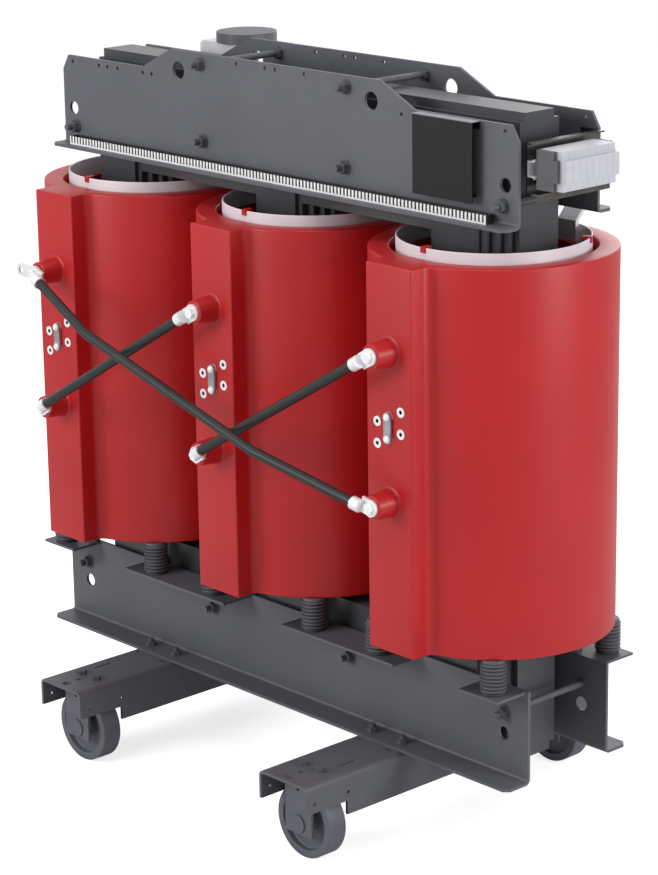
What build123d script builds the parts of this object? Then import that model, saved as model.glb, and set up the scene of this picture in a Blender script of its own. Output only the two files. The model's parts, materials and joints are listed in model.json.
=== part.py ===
from build123d import *
from math import cos, radians, sin, sqrt
import os

# Dry type distribution transformer with cast resin windings on a wheeled underframe.
# Millimetres. X runs along the length, -Y is the high voltage side, +Z is up, and the
# origin lies on the floor midway between the four wheels.

# ---- Stance --------------------------------------------------------------------------------------
wheel_gauge = 670.0
wheel_diameter = 144.0
wheel_width = 42.0
wheel_rim = 15.0
wheel_recess = 11.0
wheel_edge = 1.5
wheel_hub_radius = 22.0
running_clearance = 0.05
axle_radius = 10.0
axle_head_radius = 18.0
axle_head = 3.0
wheel_side_gap = 7.0
hub_side_gap = 1.0

# ---- Rails and wheel forks -----------------------------------------------------------------------
rail_top = 173.5
rail_width = 127.4
rail_length = 816.0
rail_sheet = 6.0
rail_bend = 12.0
rail_depth = 84.0
rail_end_depth = 56.5
rail_notch_length = 106.0
fork_sheet = 6.0
fork_bend = 9.0
fork_width = 72.0
fork_below_axle = 21.0
fork_bolt_offset = 23.0
rail_bolt_offset = 41.0
rail_slot_length = 18.0
rail_slot_width = 8.0
rail_slot_from_axle = 164.0
lash_slot_length = 43.0
lash_slot_width = 4.0
lash_slot_offset = 30.0
lash_slot_from_axle = 60.0
tow_hole_radius = 10.0
tow_hole_inset = 19.0
pilot_hole_radius = 5.0
pilot_hole_inset = 48.0
side_hole_radius = 3.5
side_hole_drop = 38.5
side_hole_near_inset = 23.0
side_hole_far_inset = 108.0
fork_hole_lift = 6.0

# ---- Core ----------------------------------------------------------------------------------------
coil_pitch = 480.6
limb_width = 222.8
limb_depths = (100.0, 126.0, 154.0, 182.0, 197.4)
limb_narrowing = (0.0, 14.4, 29.4, 45.4, 56.9)
limb_lap = 140.0
core_lift = 6.5
yoke_height = 224.0
yoke_ridge_depth = 74.0
yoke_step = 16.0
yoke_bolt_hole_radius = 11.0

# ---- Clamping frames -----------------------------------------------------------------------------
frame_sheet = 6.0
frame_bend = 11.0
core_side_gap = 0.3
top_frame_length = 1282.6
top_frame_lift = 32.0
top_frame_shoulder_height = 182.7
top_frame_height = 226.5
top_shoulder_length = 767.4
top_peak_length = 589.0
top_end_chamfer = 18.0
top_end_chamfer_height = 29.0
top_flange = 38.0
flange_chamfer = 10.0
bottom_frame_length = 1349.0
bottom_frame_height = 181.0
bottom_frame_setback = 3.5
bottom_flange = 55.7
seat_tab_sheet = 5.0
seat_tab_reach = 74.5
seat_tab_outer = (571.0, 669.0)
seat_tab_inner = (86.0, 398.0)
lifting_hole_radius = 17.5
lifting_hole_x = 272.5
lifting_hole_height = 186.0
pulling_hole_radius = 13.5
pulling_hole_x = 610.0
pulling_hole_height = 75.5
lower_pulling_hole_x = 613.0
lower_pulling_hole_height = 84.8
small_hole_radius = 4.0
shoulder_hole_drop = 12.3
shoulder_hole_x = (-523.0, -495.7, -463.0, -383.5, -355.7, 351.9)
corner_hole_x = 609.0
peak_hole_drop = 10.2
peak_hole_x = (-99.0, -17.0, 12.0, 93.0)

# ---- Clamping rods and bolts ---------------------------------------------------------------------
rod_radius = 6.5
rod_end = 13.0
rod_nut_flats = 21.0
rod_nut_height = 11.0
washer_sheet = 2.5
rod_washer_radius = 14.0
top_rod_x = 206.0
top_rod_height = 205.0
yoke_rod_x = 202.0
upper_yoke_rod_height = 56.0
lower_yoke_rod_height = 126.5
end_rod_x = 604.0
upper_end_rod_height = 39.0
lower_end_rod_x = 615.0
frame_bolt_radius = 6.0
frame_bolt_flats = 19.0
frame_bolt_head = 8.0
rail_bolt_reach = 29.5
small_bolt_radius = 4.0
small_bolt_flats = 13.0
small_bolt_head = 6.0

# ---- Windings ------------------------------------------------------------------------------------
hv_outer_radius = 228.5
hv_inner_radius = 190.0
hv_height = 719.0
hv_end_gap = 28.8
block_width = 114.4
block_face = 265.5
block_fillet = 20.0
bushing_base_radius = 26.0
bushing_tip_radius = 22.0
bushing_length = 45.0
bushing_upper_height = 562.8
bushing_lower_height = 285.8
bushing_thread_depth = 24.0
barrier_radius = 178.0
barrier_sheet = 3.0
barrier_rise = 18.0
barrier_drop = 4.0
lv_outer_radius = 163.0
lv_inner_radius = 149.0
lv_lift = 9.8
lv_height = 696.0
lv_end_gap = 42.0
lv_duct_radius = 156.5
lv_duct_width = 2.5
lv_duct_depth = 30.0
seat_gap = 0.3
stick_width = 11.0
stick_angles = (-90.0, 30.0, 150.0)
stick_hook_sheet = 2.4
stick_hook_drop = 9.0

# ---- Tap changing field on each block ------------------------------------------------------------
tap_centre_height = 425.1
tap_column = 30.0
tap_row = 40.5
tap_slope = 13.4
tap_ring_radius = 9.4
tap_hole_radius = 3.8
tap_ring_depth = 12.0
tap_ring_proud = 1.0
tap_link_width = 18.0
tap_link_sheet = 5.0

# ---- Coil seats ----------------------------------------------------------------------------------
post_offset_x = 150.0
post_offset_y = 154.0
post_height = 66.7
post_radius = 25.0
post_waist = 20.0
post_ribs = 8
post_cap = 5.0
post_seat_step = 3.0
lv_post_radius = 12.0
lv_post_offset_x = 104.0

# ---- Delta links ---------------------------------------------------------------------------------
link_radius = 9.5
lug_barrel_radius = 12.5
lug_palm_sheet = 5.0
lug_palm_width = 30.0
lug_palm_end = 16.0
lug_barrel_start = 16.0
lug_barrel_length = 18.0
lug_palm_tail = 6.0
lug_offset = 13.5
long_link_bow = 26.0
long_link_bend_x = (-283.0, 201.0)
long_link_bend_height = (480.8, 343.8)
long_link_bend_radius = 120.0
terminal_bolt_radius = 6.0
terminal_bolt_flats = 18.0
terminal_bolt_head = 7.5
flag_sheet = 4.0
flag_width = 26.0
flag_reach = 51.5
flag_hole_radius = 6.5

# ---- Low voltage bars ----------------------------------------------------------------------------
bar_sheet = 8.0
bar_width = 44.0
bar_y = 185.0
bar_offset_x = 38.0
bar_kick_drop = 5.0
bar_kick_height = 32.0
phase_bar_height = 165.0
bar_hole_inset = 25.0
bar_hole_radius = 7.0
bar_hole_spacing = 40.0
neutral_bar_height = 50.0
neutral_bar_rise = 39.0
neutral_gap = 30.0
neutral_riser_x = -364.0
shelf_height = 197.0
shelf_length = 168.0
shelf_depth = 98.0
shelf_apron = 40.0
shelf_sheet = 5.0
shelf_centre_x = -394.0
cap_radius = 62.0
cap_height = 21.5
cap_edge = 1.5
standoff_radius = 18.0
standoff_height = 109.0

# ---- Duct, plate and terminal strip --------------------------------------------------------------
duct_length = 1181.0
duct_centre_x = -5.0
duct_depth = 20.0
duct_height = 16.5
duct_wall = 1.5
duct_slot = 4.6
duct_slots = 126
plate_width = 149.0
plate_height = 144.0
plate_centre_x = 473.7
plate_rise = 37.0
plate_stand = 20.0
plate_sheet = 1.5
plate_lip = 14.0
plate_boss_inset = 12.0
plate_boss_radius = 4.0
bracket_sheet = 3.0
bracket_front = -86.5
bracket_rise = 61.0
bracket_height = 91.0
bracket_top_flange = 12.0
bracket_bottom_flange = 26.0
bracket_lip = 14.0
bracket_ear = 40.0
din_height = 35.0
din_throat = 27.0
din_depth = 15.0
din_sheet = 1.2
clamp_thickness = 9.0
block_depth = 62.0
block_height = 70.0
block_nose = 20.0
block_step = 8.0
terminal_inset = 7.0
terminal_pitch = 17.0
terminal_count = 8

# ---- Sizes that follow ---------------------------------------------------------------------------
wheel_radius = wheel_diameter / 2
half_gauge = wheel_gauge / 2
fork_inner_half = wheel_width / 2 + wheel_side_gap
fork_outer_half = fork_inner_half + fork_sheet
rail_under = rail_top - rail_sheet
core_half_depth = limb_depths[-1] / 2
web_inner = core_half_depth + core_side_gap
web_outer = web_inner + frame_sheet
lower_web_inner = web_inner + bottom_frame_setback
lower_web_outer = lower_web_inner + frame_sheet
rail_bolt_y = lower_web_outer + rail_bolt_reach
bottom_frame_top = rail_top + bottom_frame_height
hv_bottom = bottom_frame_top + post_height
hv_top = hv_bottom + hv_height
lv_bottom = hv_bottom + lv_lift
lv_top = lv_bottom + lv_height
core_bottom = rail_top + core_lift
bottom_yoke_top = core_bottom + yoke_height
top_yoke_bottom = max(hv_top + hv_end_gap, lv_top + lv_end_gap)
core_top = top_yoke_bottom + yoke_height
top_frame_bottom = top_yoke_bottom + top_frame_lift
top_frame_shoulder = top_frame_bottom + top_frame_shoulder_height
top_frame_peak = top_frame_bottom + top_frame_height
lifting_hole_z = top_frame_bottom + lifting_hole_height
pulling_hole_z = top_frame_bottom + pulling_hole_height
lower_pulling_hole_z = rail_top + lower_pulling_hole_height
top_rod_z = top_frame_bottom + top_rod_height
upper_yoke_rod_z = top_frame_bottom + upper_yoke_rod_height
upper_end_rod_z = top_frame_bottom + upper_end_rod_height
lower_yoke_rod_z = rail_top + lower_yoke_rod_height
bushing_upper_z = hv_bottom + bushing_upper_height
bushing_lower_z = hv_bottom + bushing_lower_height
tap_centre_z = hv_bottom + tap_centre_height
bar_kick_start = top_yoke_bottom - bar_kick_drop
bar_kick_end = bar_kick_start + bar_kick_height
phase_bar_top = top_frame_bottom + phase_bar_height
neutral_bar_z = top_frame_bottom + neutral_bar_rise
shelf_z = top_frame_bottom + shelf_height
standoff_z = top_frame_bottom + standoff_height
plate_bottom = top_frame_bottom + plate_rise
bracket_bottom = top_frame_bottom + bracket_rise
post_base = bottom_frame_top
tip_y = -(block_face + bushing_length)
coil_centres = {"left": -coil_pitch, "centre": 0.0, "right": coil_pitch}
corners = {"front_left": (-1, -1), "front_right": (1, -1), "back_left": (-1, 1), "back_right": (1, 1)}

os.makedirs("parts", exist_ok=True)


def save(part, name):
    """Label one finished piece and write it under that name."""
    part.label = name
    export_step(part, "parts/" + name + ".step")


def hexagon(flats):
    """Radius of the circle through the corners of a hexagon of this width across flats."""
    return flats / sqrt(3)


# ---- Core ----------------------------------------------------------------------------------------
def limb(x):
    """Stepped core limb whose outermost sheets lap over the faces of both yokes."""
    with BuildPart() as body:
        with BuildSketch(Plane.XY.offset(bottom_yoke_top)):
            for depth, narrowing in zip(limb_depths, limb_narrowing):
                with Locations((x, 0)):
                    Rectangle(limb_width - 2 * narrowing, depth)
        extrude(amount=top_yoke_bottom - bottom_yoke_top)
        with BuildSketch(Plane.XY.offset(bottom_yoke_top - limb_lap)):
            with Locations((x, 0)):
                Rectangle(limb_width - 2 * limb_narrowing[-1], limb_depths[-1])
                Rectangle(limb_width - 2 * limb_narrowing[-1], limb_depths[-2], mode=Mode.SUBTRACT)
        extrude(amount=top_yoke_bottom - bottom_yoke_top + 2 * limb_lap)
    return body.part


def yoke(flat_z, ridge_z, bolt_z):
    """Yoke with a flat side to the windows and steps on the far side."""
    rise = 1 if ridge_z > flat_z else -1
    half_length = coil_pitch + limb_width / 2
    depths = (yoke_ridge_depth,) + limb_depths[:-1]
    with BuildPart() as body:
        for step, depth in enumerate(depths):
            height = abs(ridge_z - flat_z) - step * yoke_step
            length = 2 * (half_length - limb_narrowing[max(step - 1, 0)])
            with Locations((0, 0, flat_z + rise * height / 2)):
                Box(length, depth, height)
        with Locations(
            Location((-yoke_rod_x, 0, bolt_z), (90, 0, 0)), Location((yoke_rod_x, 0, bolt_z), (90, 0, 0))
        ):
            Cylinder(yoke_bolt_hole_radius, limb_depths[-1], mode=Mode.SUBTRACT)
    return body.part


for side, x in coil_centres.items():
    save(limb(x), "core_limb_" + side)
save(yoke(bottom_yoke_top, core_bottom, lower_yoke_rod_z), "bottom_yoke")
save(yoke(top_yoke_bottom, core_top, upper_yoke_rod_z), "top_yoke")


# ---- Clamping frames -----------------------------------------------------------------------------
def mirrored_points(points):
    """The points and their mirror images across the middle of the length."""
    return [(side * x, z) for side in (-1, 1) for x, z in points]


def fold(body, inner, outer, bottom):
    """Round the inside and outside of the fold between a web and its bottom flange."""
    lengthwise = body.edges().filter_by(Axis.X)
    fillet(lengthwise.sort_by_distance((0, -inner, bottom))[0], frame_bend)
    lengthwise = body.edges().filter_by(Axis.X)
    fillet(lengthwise.sort_by_distance((0, -outer, bottom + frame_sheet))[0], frame_bend - frame_sheet)


top_rod_points = mirrored_points(
    [(top_rod_x, top_rod_z), (yoke_rod_x, upper_yoke_rod_z), (end_rod_x, upper_end_rod_z)]
)
lower_rod_points = mirrored_points([(yoke_rod_x, lower_yoke_rod_z), (lower_end_rod_x, lower_yoke_rod_z)])
half_top = top_frame_length / 2
half_bottom = bottom_frame_length / 2

with BuildPart() as top_frame_front:
    with BuildSketch(Plane.YZ):
        with BuildLine():
            Polyline(
                (-web_inner, top_frame_bottom),
                (-web_outer - top_flange, top_frame_bottom),
                (-web_outer - top_flange, top_frame_bottom + frame_sheet),
                (-web_outer, top_frame_bottom + frame_sheet),
                (-web_outer, top_frame_peak),
                (-web_inner, top_frame_peak),
                close=True,
            )
        make_face()
    extrude(amount=half_top, both=True)
    fold(top_frame_front, web_inner, web_outer, top_frame_bottom)
    with BuildSketch(Plane.XZ):
        with BuildLine():
            outline = Polyline(
                (0, top_frame_bottom),
                (half_top, top_frame_bottom),
                (half_top, top_frame_shoulder - top_end_chamfer_height),
                (half_top - top_end_chamfer, top_frame_shoulder),
                (top_shoulder_length / 2, top_frame_shoulder),
                (top_peak_length / 2, top_frame_peak),
                (0, top_frame_peak),
            )
            mirror(outline, about=Plane.YZ)
        make_face()
    extrude(amount=web_outer + top_flange, mode=Mode.INTERSECT)
    chamfer(
        top_frame_front.edges().filter_by(Axis.Z).group_by(Axis.Y)[0],
        flange_chamfer,
    )
    with BuildSketch(Plane.XZ.offset(web_inner)):
        with Locations(*mirrored_points([(lifting_hole_x, lifting_hole_z)])):
            Circle(lifting_hole_radius)
        with Locations(*mirrored_points([(pulling_hole_x, pulling_hole_z)])):
            Circle(pulling_hole_radius)
        with Locations(*top_rod_points):
            Circle(rod_radius + seat_gap)
        with Locations(*mirrored_points([(corner_hole_x, top_frame_shoulder - shoulder_hole_drop)])):
            Circle(small_hole_radius)
        with Locations(*[(x, top_frame_shoulder - shoulder_hole_drop) for x in shoulder_hole_x]):
            Circle(small_hole_radius)
        with Locations(*[(x, top_frame_peak - peak_hole_drop) for x in peak_hole_x]):
            Circle(small_hole_radius)
    extrude(amount=frame_sheet, mode=Mode.SUBTRACT)
save(top_frame_front.part, "top_frame_front")

with BuildPart() as top_frame_back:
    mirror(top_frame_front.part, about=Plane.XZ)
save(top_frame_back.part, "top_frame_back")

seat_tabs = [seat_tab_outer, seat_tab_inner]
seat_tabs += [(-high, -low) for low, high in seat_tabs]
post_points = [
    (x + dx, side * post_offset_y)
    for x in coil_centres.values()
    for dx in (-post_offset_x, post_offset_x)
    for side in (-1, 1)
]
rail_bolt_points = [
    (rail * half_gauge + dx, side * rail_bolt_y)
    for rail in (-1, 1)
    for dx in (-rail_bolt_offset, rail_bolt_offset)
    for side in (-1, 1)
]
front_posts = [point for point in post_points if point[1] < 0]
front_rail_bolts = [point for point in rail_bolt_points if point[1] < 0]

with BuildPart() as bottom_frame_front:
    with BuildSketch(Plane.YZ):
        with BuildLine():
            Polyline(
                (-lower_web_inner, rail_top),
                (-lower_web_outer - bottom_flange, rail_top),
                (-lower_web_outer - bottom_flange, rail_top + frame_sheet),
                (-lower_web_outer, rail_top + frame_sheet),
                (-lower_web_outer, bottom_frame_top),
                (-lower_web_inner, bottom_frame_top),
                close=True,
            )
        make_face()
    extrude(amount=half_bottom, both=True)
    fold(bottom_frame_front, lower_web_inner, lower_web_outer, rail_top)
    chamfer(
        bottom_frame_front.edges().filter_by(Axis.Z).group_by(Axis.Y)[0],
        flange_chamfer,
    )
    with BuildSketch(Plane.XY.offset(bottom_frame_top)):
        for low, high in seat_tabs:
            with Locations(((low + high) / 2, -lower_web_outer - seat_tab_reach / 2)):
                Rectangle(high - low, seat_tab_reach)
    extrude(amount=-seat_tab_sheet)
    with BuildSketch(Plane.XY.offset(bottom_frame_top)):
        with Locations(*front_posts):
            Circle(small_bolt_radius + seat_gap)
    extrude(amount=-seat_tab_sheet, mode=Mode.SUBTRACT)
    with BuildSketch(Plane.XY.offset(rail_top)):
        with Locations(*front_rail_bolts):
            Circle(frame_bolt_radius + seat_gap)
    extrude(amount=frame_sheet, mode=Mode.SUBTRACT)
    with BuildSketch(Plane.XZ.offset(lower_web_inner)):
        with Locations(*lower_rod_points):
            Circle(rod_radius + seat_gap)
        with Locations(*mirrored_points([(lower_pulling_hole_x, lower_pulling_hole_z)])):
            Circle(pulling_hole_radius)
    extrude(amount=frame_sheet, mode=Mode.SUBTRACT)
save(bottom_frame_front.part, "bottom_frame_front")

with BuildPart() as bottom_frame_back:
    mirror(bottom_frame_front.part, about=Plane.XZ)
save(bottom_frame_back.part, "bottom_frame_back")


# ---- Clamping rods and their nuts ----------------------------------------------------------------
def rods(points, outer):
    """Threaded rods across both frames."""
    reach = outer + washer_sheet + rod_nut_height + rod_end
    with BuildPart() as body:
        with BuildSketch(Plane.XZ):
            with Locations(*points):
                Circle(rod_radius)
        extrude(amount=reach, both=True)
    return body.part


def rod_nuts(points, outer, locked_points, inner):
    """A washer and a nut on each end of each rod, and a lock nut inside on those that run free."""
    with BuildPart() as body:
        for side in (-1, 1):
            for x, z in locked_points:
                with BuildSketch(Plane.XZ.offset(side * inner)):
                    with Locations((x, z)):
                        RegularPolygon(hexagon(rod_nut_flats), 6, rotation=30)
                        Circle(rod_radius, mode=Mode.SUBTRACT)
                extrude(amount=-side * rod_nut_height)
        for side in (-1, 1):
            with BuildSketch(Plane.XZ.offset(side * outer)):
                with Locations(*points):
                    Circle(rod_washer_radius)
                with Locations(*points):
                    Circle(rod_radius, mode=Mode.SUBTRACT)
            extrude(amount=side * washer_sheet)
            with BuildSketch(Plane.XZ.offset(side * (outer + washer_sheet))):
                with Locations(*points):
                    RegularPolygon(hexagon(rod_nut_flats), 6, rotation=30)
                with Locations(*points):
                    Circle(rod_radius, mode=Mode.SUBTRACT)
            extrude(amount=side * rod_nut_height)
    return body.part


save(rods(top_rod_points, web_outer), "upper_clamp_rods")
save(rods(lower_rod_points, lower_web_outer), "lower_clamp_rods")
free_rod_points = mirrored_points([(top_rod_x, top_rod_z)])
save(rod_nuts(top_rod_points, web_outer, free_rod_points, web_inner), "upper_clamp_nuts")
save(rod_nuts(lower_rod_points, lower_web_outer, [], lower_web_inner), "lower_clamp_nuts")


# ---- Rails ---------------------------------------------------------------------------------------
def rail(side):
    """Folded channel, open below, with its side walls cut back over the wheels."""
    x = side * half_gauge
    half_width = rail_width / 2
    half_length = rail_length / 2
    inner_width = rail_width - 2 * rail_sheet
    notch_middle = rail_top - rail_end_depth - rail_depth / 2
    with BuildPart() as body:
        with Locations((x, 0, rail_top - rail_depth / 2)):
            Box(rail_width, rail_length, rail_depth)
        fillet(body.edges().filter_by(Axis.Y).group_by(Axis.Z)[-1], rail_bend)
        with Locations((x, 0, rail_under - rail_depth / 2)):
            Box(inner_width, rail_length, rail_depth, mode=Mode.SUBTRACT)
        lengthwise = body.edges().filter_by(Axis.Y)
        inner_folds = lengthwise.filter_by(lambda e: abs(e.center().Z - rail_under) < 0.01)
        fillet(inner_folds, rail_bend - rail_sheet)
        for end in (-1, 1):
            with Locations((x, end * (half_length - rail_notch_length / 2), notch_middle)):
                Box(rail_width, rail_notch_length, rail_depth, mode=Mode.SUBTRACT)
        with BuildSketch(Plane.XY.offset(rail_top)):
            for end in (-1, 1):
                with Locations((x, end * (half_length - tow_hole_inset))):
                    Circle(tow_hole_radius)
                with Locations((x, end * (half_length - pilot_hole_inset))):
                    Circle(pilot_hole_radius)
                with Locations(*[(x + dx, end * half_gauge) for dx in (-fork_bolt_offset, fork_bolt_offset)]):
                    Circle(frame_bolt_radius + seat_gap)
                slot_y = end * (half_gauge - rail_slot_from_axle)
                with Locations((x - rail_bolt_offset, slot_y), (x + rail_bolt_offset, slot_y)):
                    SlotOverall(rail_slot_length, rail_slot_width)
                bolt_y = end * rail_bolt_y
                with Locations((x - rail_bolt_offset, bolt_y), (x + rail_bolt_offset, bolt_y)):
                    Circle(frame_bolt_radius + seat_gap)
                with Locations((x + side * lash_slot_offset, end * (half_gauge - lash_slot_from_axle))):
                    SlotOverall(lash_slot_length, lash_slot_width, rotation=90)
        extrude(amount=-rail_sheet, mode=Mode.SUBTRACT)
        with BuildSketch(Plane.YZ.offset(x)):
            for end in (-1, 1):
                for inset in (side_hole_near_inset, side_hole_far_inset):
                    with Locations((end * (half_length - inset), rail_top - side_hole_drop)):
                        Circle(side_hole_radius)
        extrude(amount=half_width, both=True, mode=Mode.SUBTRACT)
    return body.part


save(rail(-1), "rail_left")
save(rail(1), "rail_right")


# ---- Wheels, forks and axles ---------------------------------------------------------------------
def wheel(x, y):
    """Flat rimmed roller with a recessed web and a long hub, bored for its axle."""
    hub_length = 2 * (fork_inner_half - hub_side_gap)
    with BuildPart() as body:
        with BuildSketch(Plane.XZ.offset(-y)):
            with Locations((x, wheel_radius)):
                Circle(wheel_radius)
        extrude(amount=wheel_width / 2, both=True)
        chamfer(body.edges().filter_by(GeomType.CIRCLE), wheel_edge)
        for side in (-1, 1):
            with BuildSketch(Plane.XZ.offset(-y + side * wheel_width / 2)):
                with Locations((x, wheel_radius)):
                    Circle(wheel_radius - wheel_rim)
                    Circle(wheel_hub_radius, mode=Mode.SUBTRACT)
            extrude(amount=-side * wheel_recess, mode=Mode.SUBTRACT)
        with BuildSketch(Plane.XZ.offset(-y)):
            with Locations((x, wheel_radius)):
                Circle(wheel_hub_radius)
        extrude(amount=hub_length / 2, both=True)
        with BuildSketch(Plane.XZ.offset(-y)):
            with Locations((x, wheel_radius)):
                Circle(axle_radius + running_clearance)
        extrude(amount=hub_length / 2, both=True, mode=Mode.SUBTRACT)
    return body.part


def fork(x, y):
    """Inverted U of folded plate that straddles one wheel under its rail."""
    top = rail_under
    bottom = wheel_radius - fork_below_axle
    with BuildPart() as body:
        with Locations((x, y, (top + bottom) / 2)):
            Box(fork_width, 2 * fork_outer_half, top - bottom)
        fillet(body.edges().filter_by(Axis.X).group_by(Axis.Z)[-1], fork_bend)
        with Locations((x, y, (top + bottom) / 2 - fork_sheet)):
            Box(fork_width, 2 * fork_inner_half, top - bottom, mode=Mode.SUBTRACT)
        throat_top = top - fork_sheet
        crosswise = body.edges().filter_by(Axis.X)
        throat_folds = crosswise.filter_by(lambda e: abs(e.center().Z - throat_top) < 0.01)
        fillet(throat_folds, fork_bend - fork_sheet)
        with BuildSketch(Plane.XZ.offset(-y)):
            with Locations((x, wheel_radius)):
                Circle(axle_radius)
        extrude(amount=fork_outer_half, both=True, mode=Mode.SUBTRACT)
        with BuildSketch(Plane.XZ.offset(-y)):
            with Locations((x, rail_top - side_hole_drop + fork_hole_lift)):
                Circle(side_hole_radius)
        extrude(amount=fork_outer_half, both=True, mode=Mode.SUBTRACT)
        with BuildSketch(Plane.XY.offset(top)):
            with Locations((x - fork_bolt_offset, y), (x + fork_bolt_offset, y)):
                Circle(frame_bolt_radius + seat_gap)
        extrude(amount=-fork_sheet, mode=Mode.SUBTRACT)
    return body.part


for corner, (sx, sy) in corners.items():
    save(wheel(sx * half_gauge, sy * half_gauge), "wheel_" + corner)
    save(fork(sx * half_gauge, sy * half_gauge), "wheel_fork_" + corner)

with BuildPart() as axles:
    for sx, sy in corners.values():
        with BuildSketch(Plane.XZ.offset(-sy * half_gauge)):
            with Locations((sx * half_gauge, wheel_radius)):
                Circle(axle_radius)
        extrude(amount=fork_outer_half, both=True)
        for side in (-1, 1):
            with BuildSketch(Plane.XZ.offset(-sy * half_gauge + side * fork_outer_half)):
                with Locations((sx * half_gauge, wheel_radius)):
                    Circle(axle_head_radius)
            extrude(amount=side * axle_head)
save(axles.part, "axles")


def vertical_bolts(points, grip_bottom, grip_top, radius, flats, head, nut_up):
    """Bolts through a level grip, each with a head on one side and a nut on the other."""
    with BuildPart() as body:
        with BuildSketch(Plane.XY.offset(grip_bottom)):
            with Locations(*points):
                Circle(radius)
        extrude(amount=grip_top - grip_bottom)
        with BuildSketch(Plane.XY.offset(grip_top)):
            with Locations(*points):
                RegularPolygon(hexagon(flats), 6)
        extrude(amount=head)
        with BuildSketch(Plane.XY.offset(grip_bottom)):
            with Locations(*points):
                RegularPolygon(hexagon(flats), 6)
        extrude(amount=-head)
        if nut_up:
            with BuildSketch(Plane.XY.offset(grip_top + head)):
                with Locations(*points):
                    Circle(radius)
            extrude(amount=head)
    return body.part


fork_bolt_points = [
    (sx * half_gauge + dx, sy * half_gauge)
    for sx, sy in corners.values()
    for dx in (-fork_bolt_offset, fork_bolt_offset)
]
save(
    vertical_bolts(
        fork_bolt_points,
        rail_under - fork_sheet,
        rail_top,
        frame_bolt_radius,
        frame_bolt_flats,
        frame_bolt_head,
        False,
    ),
    "fork_bolts",
)
save(
    vertical_bolts(
        rail_bolt_points,
        rail_under,
        rail_top + frame_sheet,
        frame_bolt_radius,
        frame_bolt_flats,
        frame_bolt_head,
        True,
    ),
    "rail_bolts",
)


# ---- Windings ------------------------------------------------------------------------------------
def tap_points(x):
    """Centres of the six tap inserts on one block, as X and Z."""
    return [
        (x + column * tap_column, tap_centre_z + row * tap_row / 2 + column * tap_slope)
        for column in (-1, 0, 1)
        for row in (-1, 1)
    ]


def hv_coil(x):
    """Cast high voltage winding with its terminal block and two bushings."""
    with BuildPart() as body:
        with BuildSketch(Plane.XY.offset(hv_bottom)):
            with Locations((x, 0)):
                Circle(hv_outer_radius)
            with Locations((x, -block_face / 2)):
                Rectangle(block_width, block_face)
        extrude(amount=hv_height)
        notch_y = -sqrt(hv_outer_radius**2 - (block_width / 2) ** 2)
        uprights = body.edges().filter_by(Axis.Z).filter_by(lambda e: abs(e.center().Y - notch_y) < 1)
        fillet(uprights, block_fillet)
        with BuildSketch(Plane.XY.offset(hv_bottom)):
            with Locations((x, 0)):
                Circle(hv_inner_radius)
        extrude(amount=hv_height, mode=Mode.SUBTRACT)
        for z in (bushing_lower_z, bushing_upper_z):
            with Locations(Location((x, -block_face - bushing_length / 2, z), (90, 0, 0))):
                Cone(bushing_base_radius, bushing_tip_radius, bushing_length)
        with BuildSketch(Plane.XZ.offset(-tip_y)):
            with Locations((x, bushing_lower_z), (x, bushing_upper_z)):
                Circle(terminal_bolt_radius)
        extrude(amount=-bushing_thread_depth, mode=Mode.SUBTRACT)
        with BuildSketch(Plane.XZ.offset(block_face)):
            with Locations(*tap_points(x)):
                Circle(tap_ring_radius)
        extrude(amount=-tap_ring_depth, mode=Mode.SUBTRACT)
    return body.part


def ring(x, outer, inner, bottom, height):
    """Plain upright tube."""
    with BuildPart() as body:
        with BuildSketch(Plane.XY.offset(bottom)):
            with Locations((x, 0)):
                Circle(outer)
                Circle(inner, mode=Mode.SUBTRACT)
        extrude(amount=height)
    return body.part


def lv_coil(x):
    """Low voltage winding, with its cooling duct open at both ends."""
    with BuildPart() as body:
        add(ring(x, lv_outer_radius, lv_inner_radius, lv_bottom, lv_height))
        for start in (lv_bottom, lv_top - lv_duct_depth):
            add(
                ring(
                    x,
                    lv_duct_radius + lv_duct_width / 2,
                    lv_duct_radius - lv_duct_width / 2,
                    start,
                    lv_duct_depth,
                ),
                mode=Mode.SUBTRACT,
            )
    return body.part


for side, x in coil_centres.items():
    save(hv_coil(x), "hv_coil_" + side)
    save(lv_coil(x), "lv_coil_" + side)
    save(
        ring(
            x,
            barrier_radius,
            barrier_radius - barrier_sheet,
            hv_bottom + barrier_drop,
            hv_height + barrier_rise - barrier_drop,
        ),
        "barrier_cylinder_" + side,
    )

with BuildPart() as spacer_sticks:
    stick_top = hv_top + barrier_rise + seat_gap
    stick_inner = lv_outer_radius + seat_gap
    stick_outer = barrier_radius - barrier_sheet - seat_gap
    hook_outer = barrier_radius + seat_gap + stick_hook_sheet
    for x in coil_centres.values():
        for angle in stick_angles:
            radial = Plane(
                origin=(x, 0, 0),
                x_dir=(cos(radians(angle)), sin(radians(angle)), 0),
                z_dir=(-sin(radians(angle)), cos(radians(angle)), 0),
            )
            with BuildSketch(radial):
                with BuildLine():
                    Polyline(
                        (stick_inner, -lv_bottom),
                        (stick_inner, -stick_top - stick_hook_sheet),
                        (hook_outer, -stick_top - stick_hook_sheet),
                        (hook_outer, -stick_top + stick_hook_drop),
                        (barrier_radius + seat_gap, -stick_top + stick_hook_drop),
                        (barrier_radius + seat_gap, -stick_top),
                        (stick_outer, -stick_top),
                        (stick_outer, -lv_bottom),
                        close=True,
                    )
                make_face()
            extrude(amount=stick_width / 2, both=True)
save(spacer_sticks.part, "spacer_sticks")

# ---- Tap field -----------------------------------------------------------------------------------
with BuildPart() as tap_inserts:
    with BuildSketch(Plane.XZ.offset(block_face + tap_ring_proud)):
        for x in coil_centres.values():
            with Locations(*tap_points(x)):
                Circle(tap_ring_radius - seat_gap / 3)
            with Locations(*tap_points(x)):
                Circle(tap_hole_radius, mode=Mode.SUBTRACT)
    extrude(amount=-tap_ring_depth - tap_ring_proud)
save(tap_inserts.part, "tap_inserts")

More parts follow.
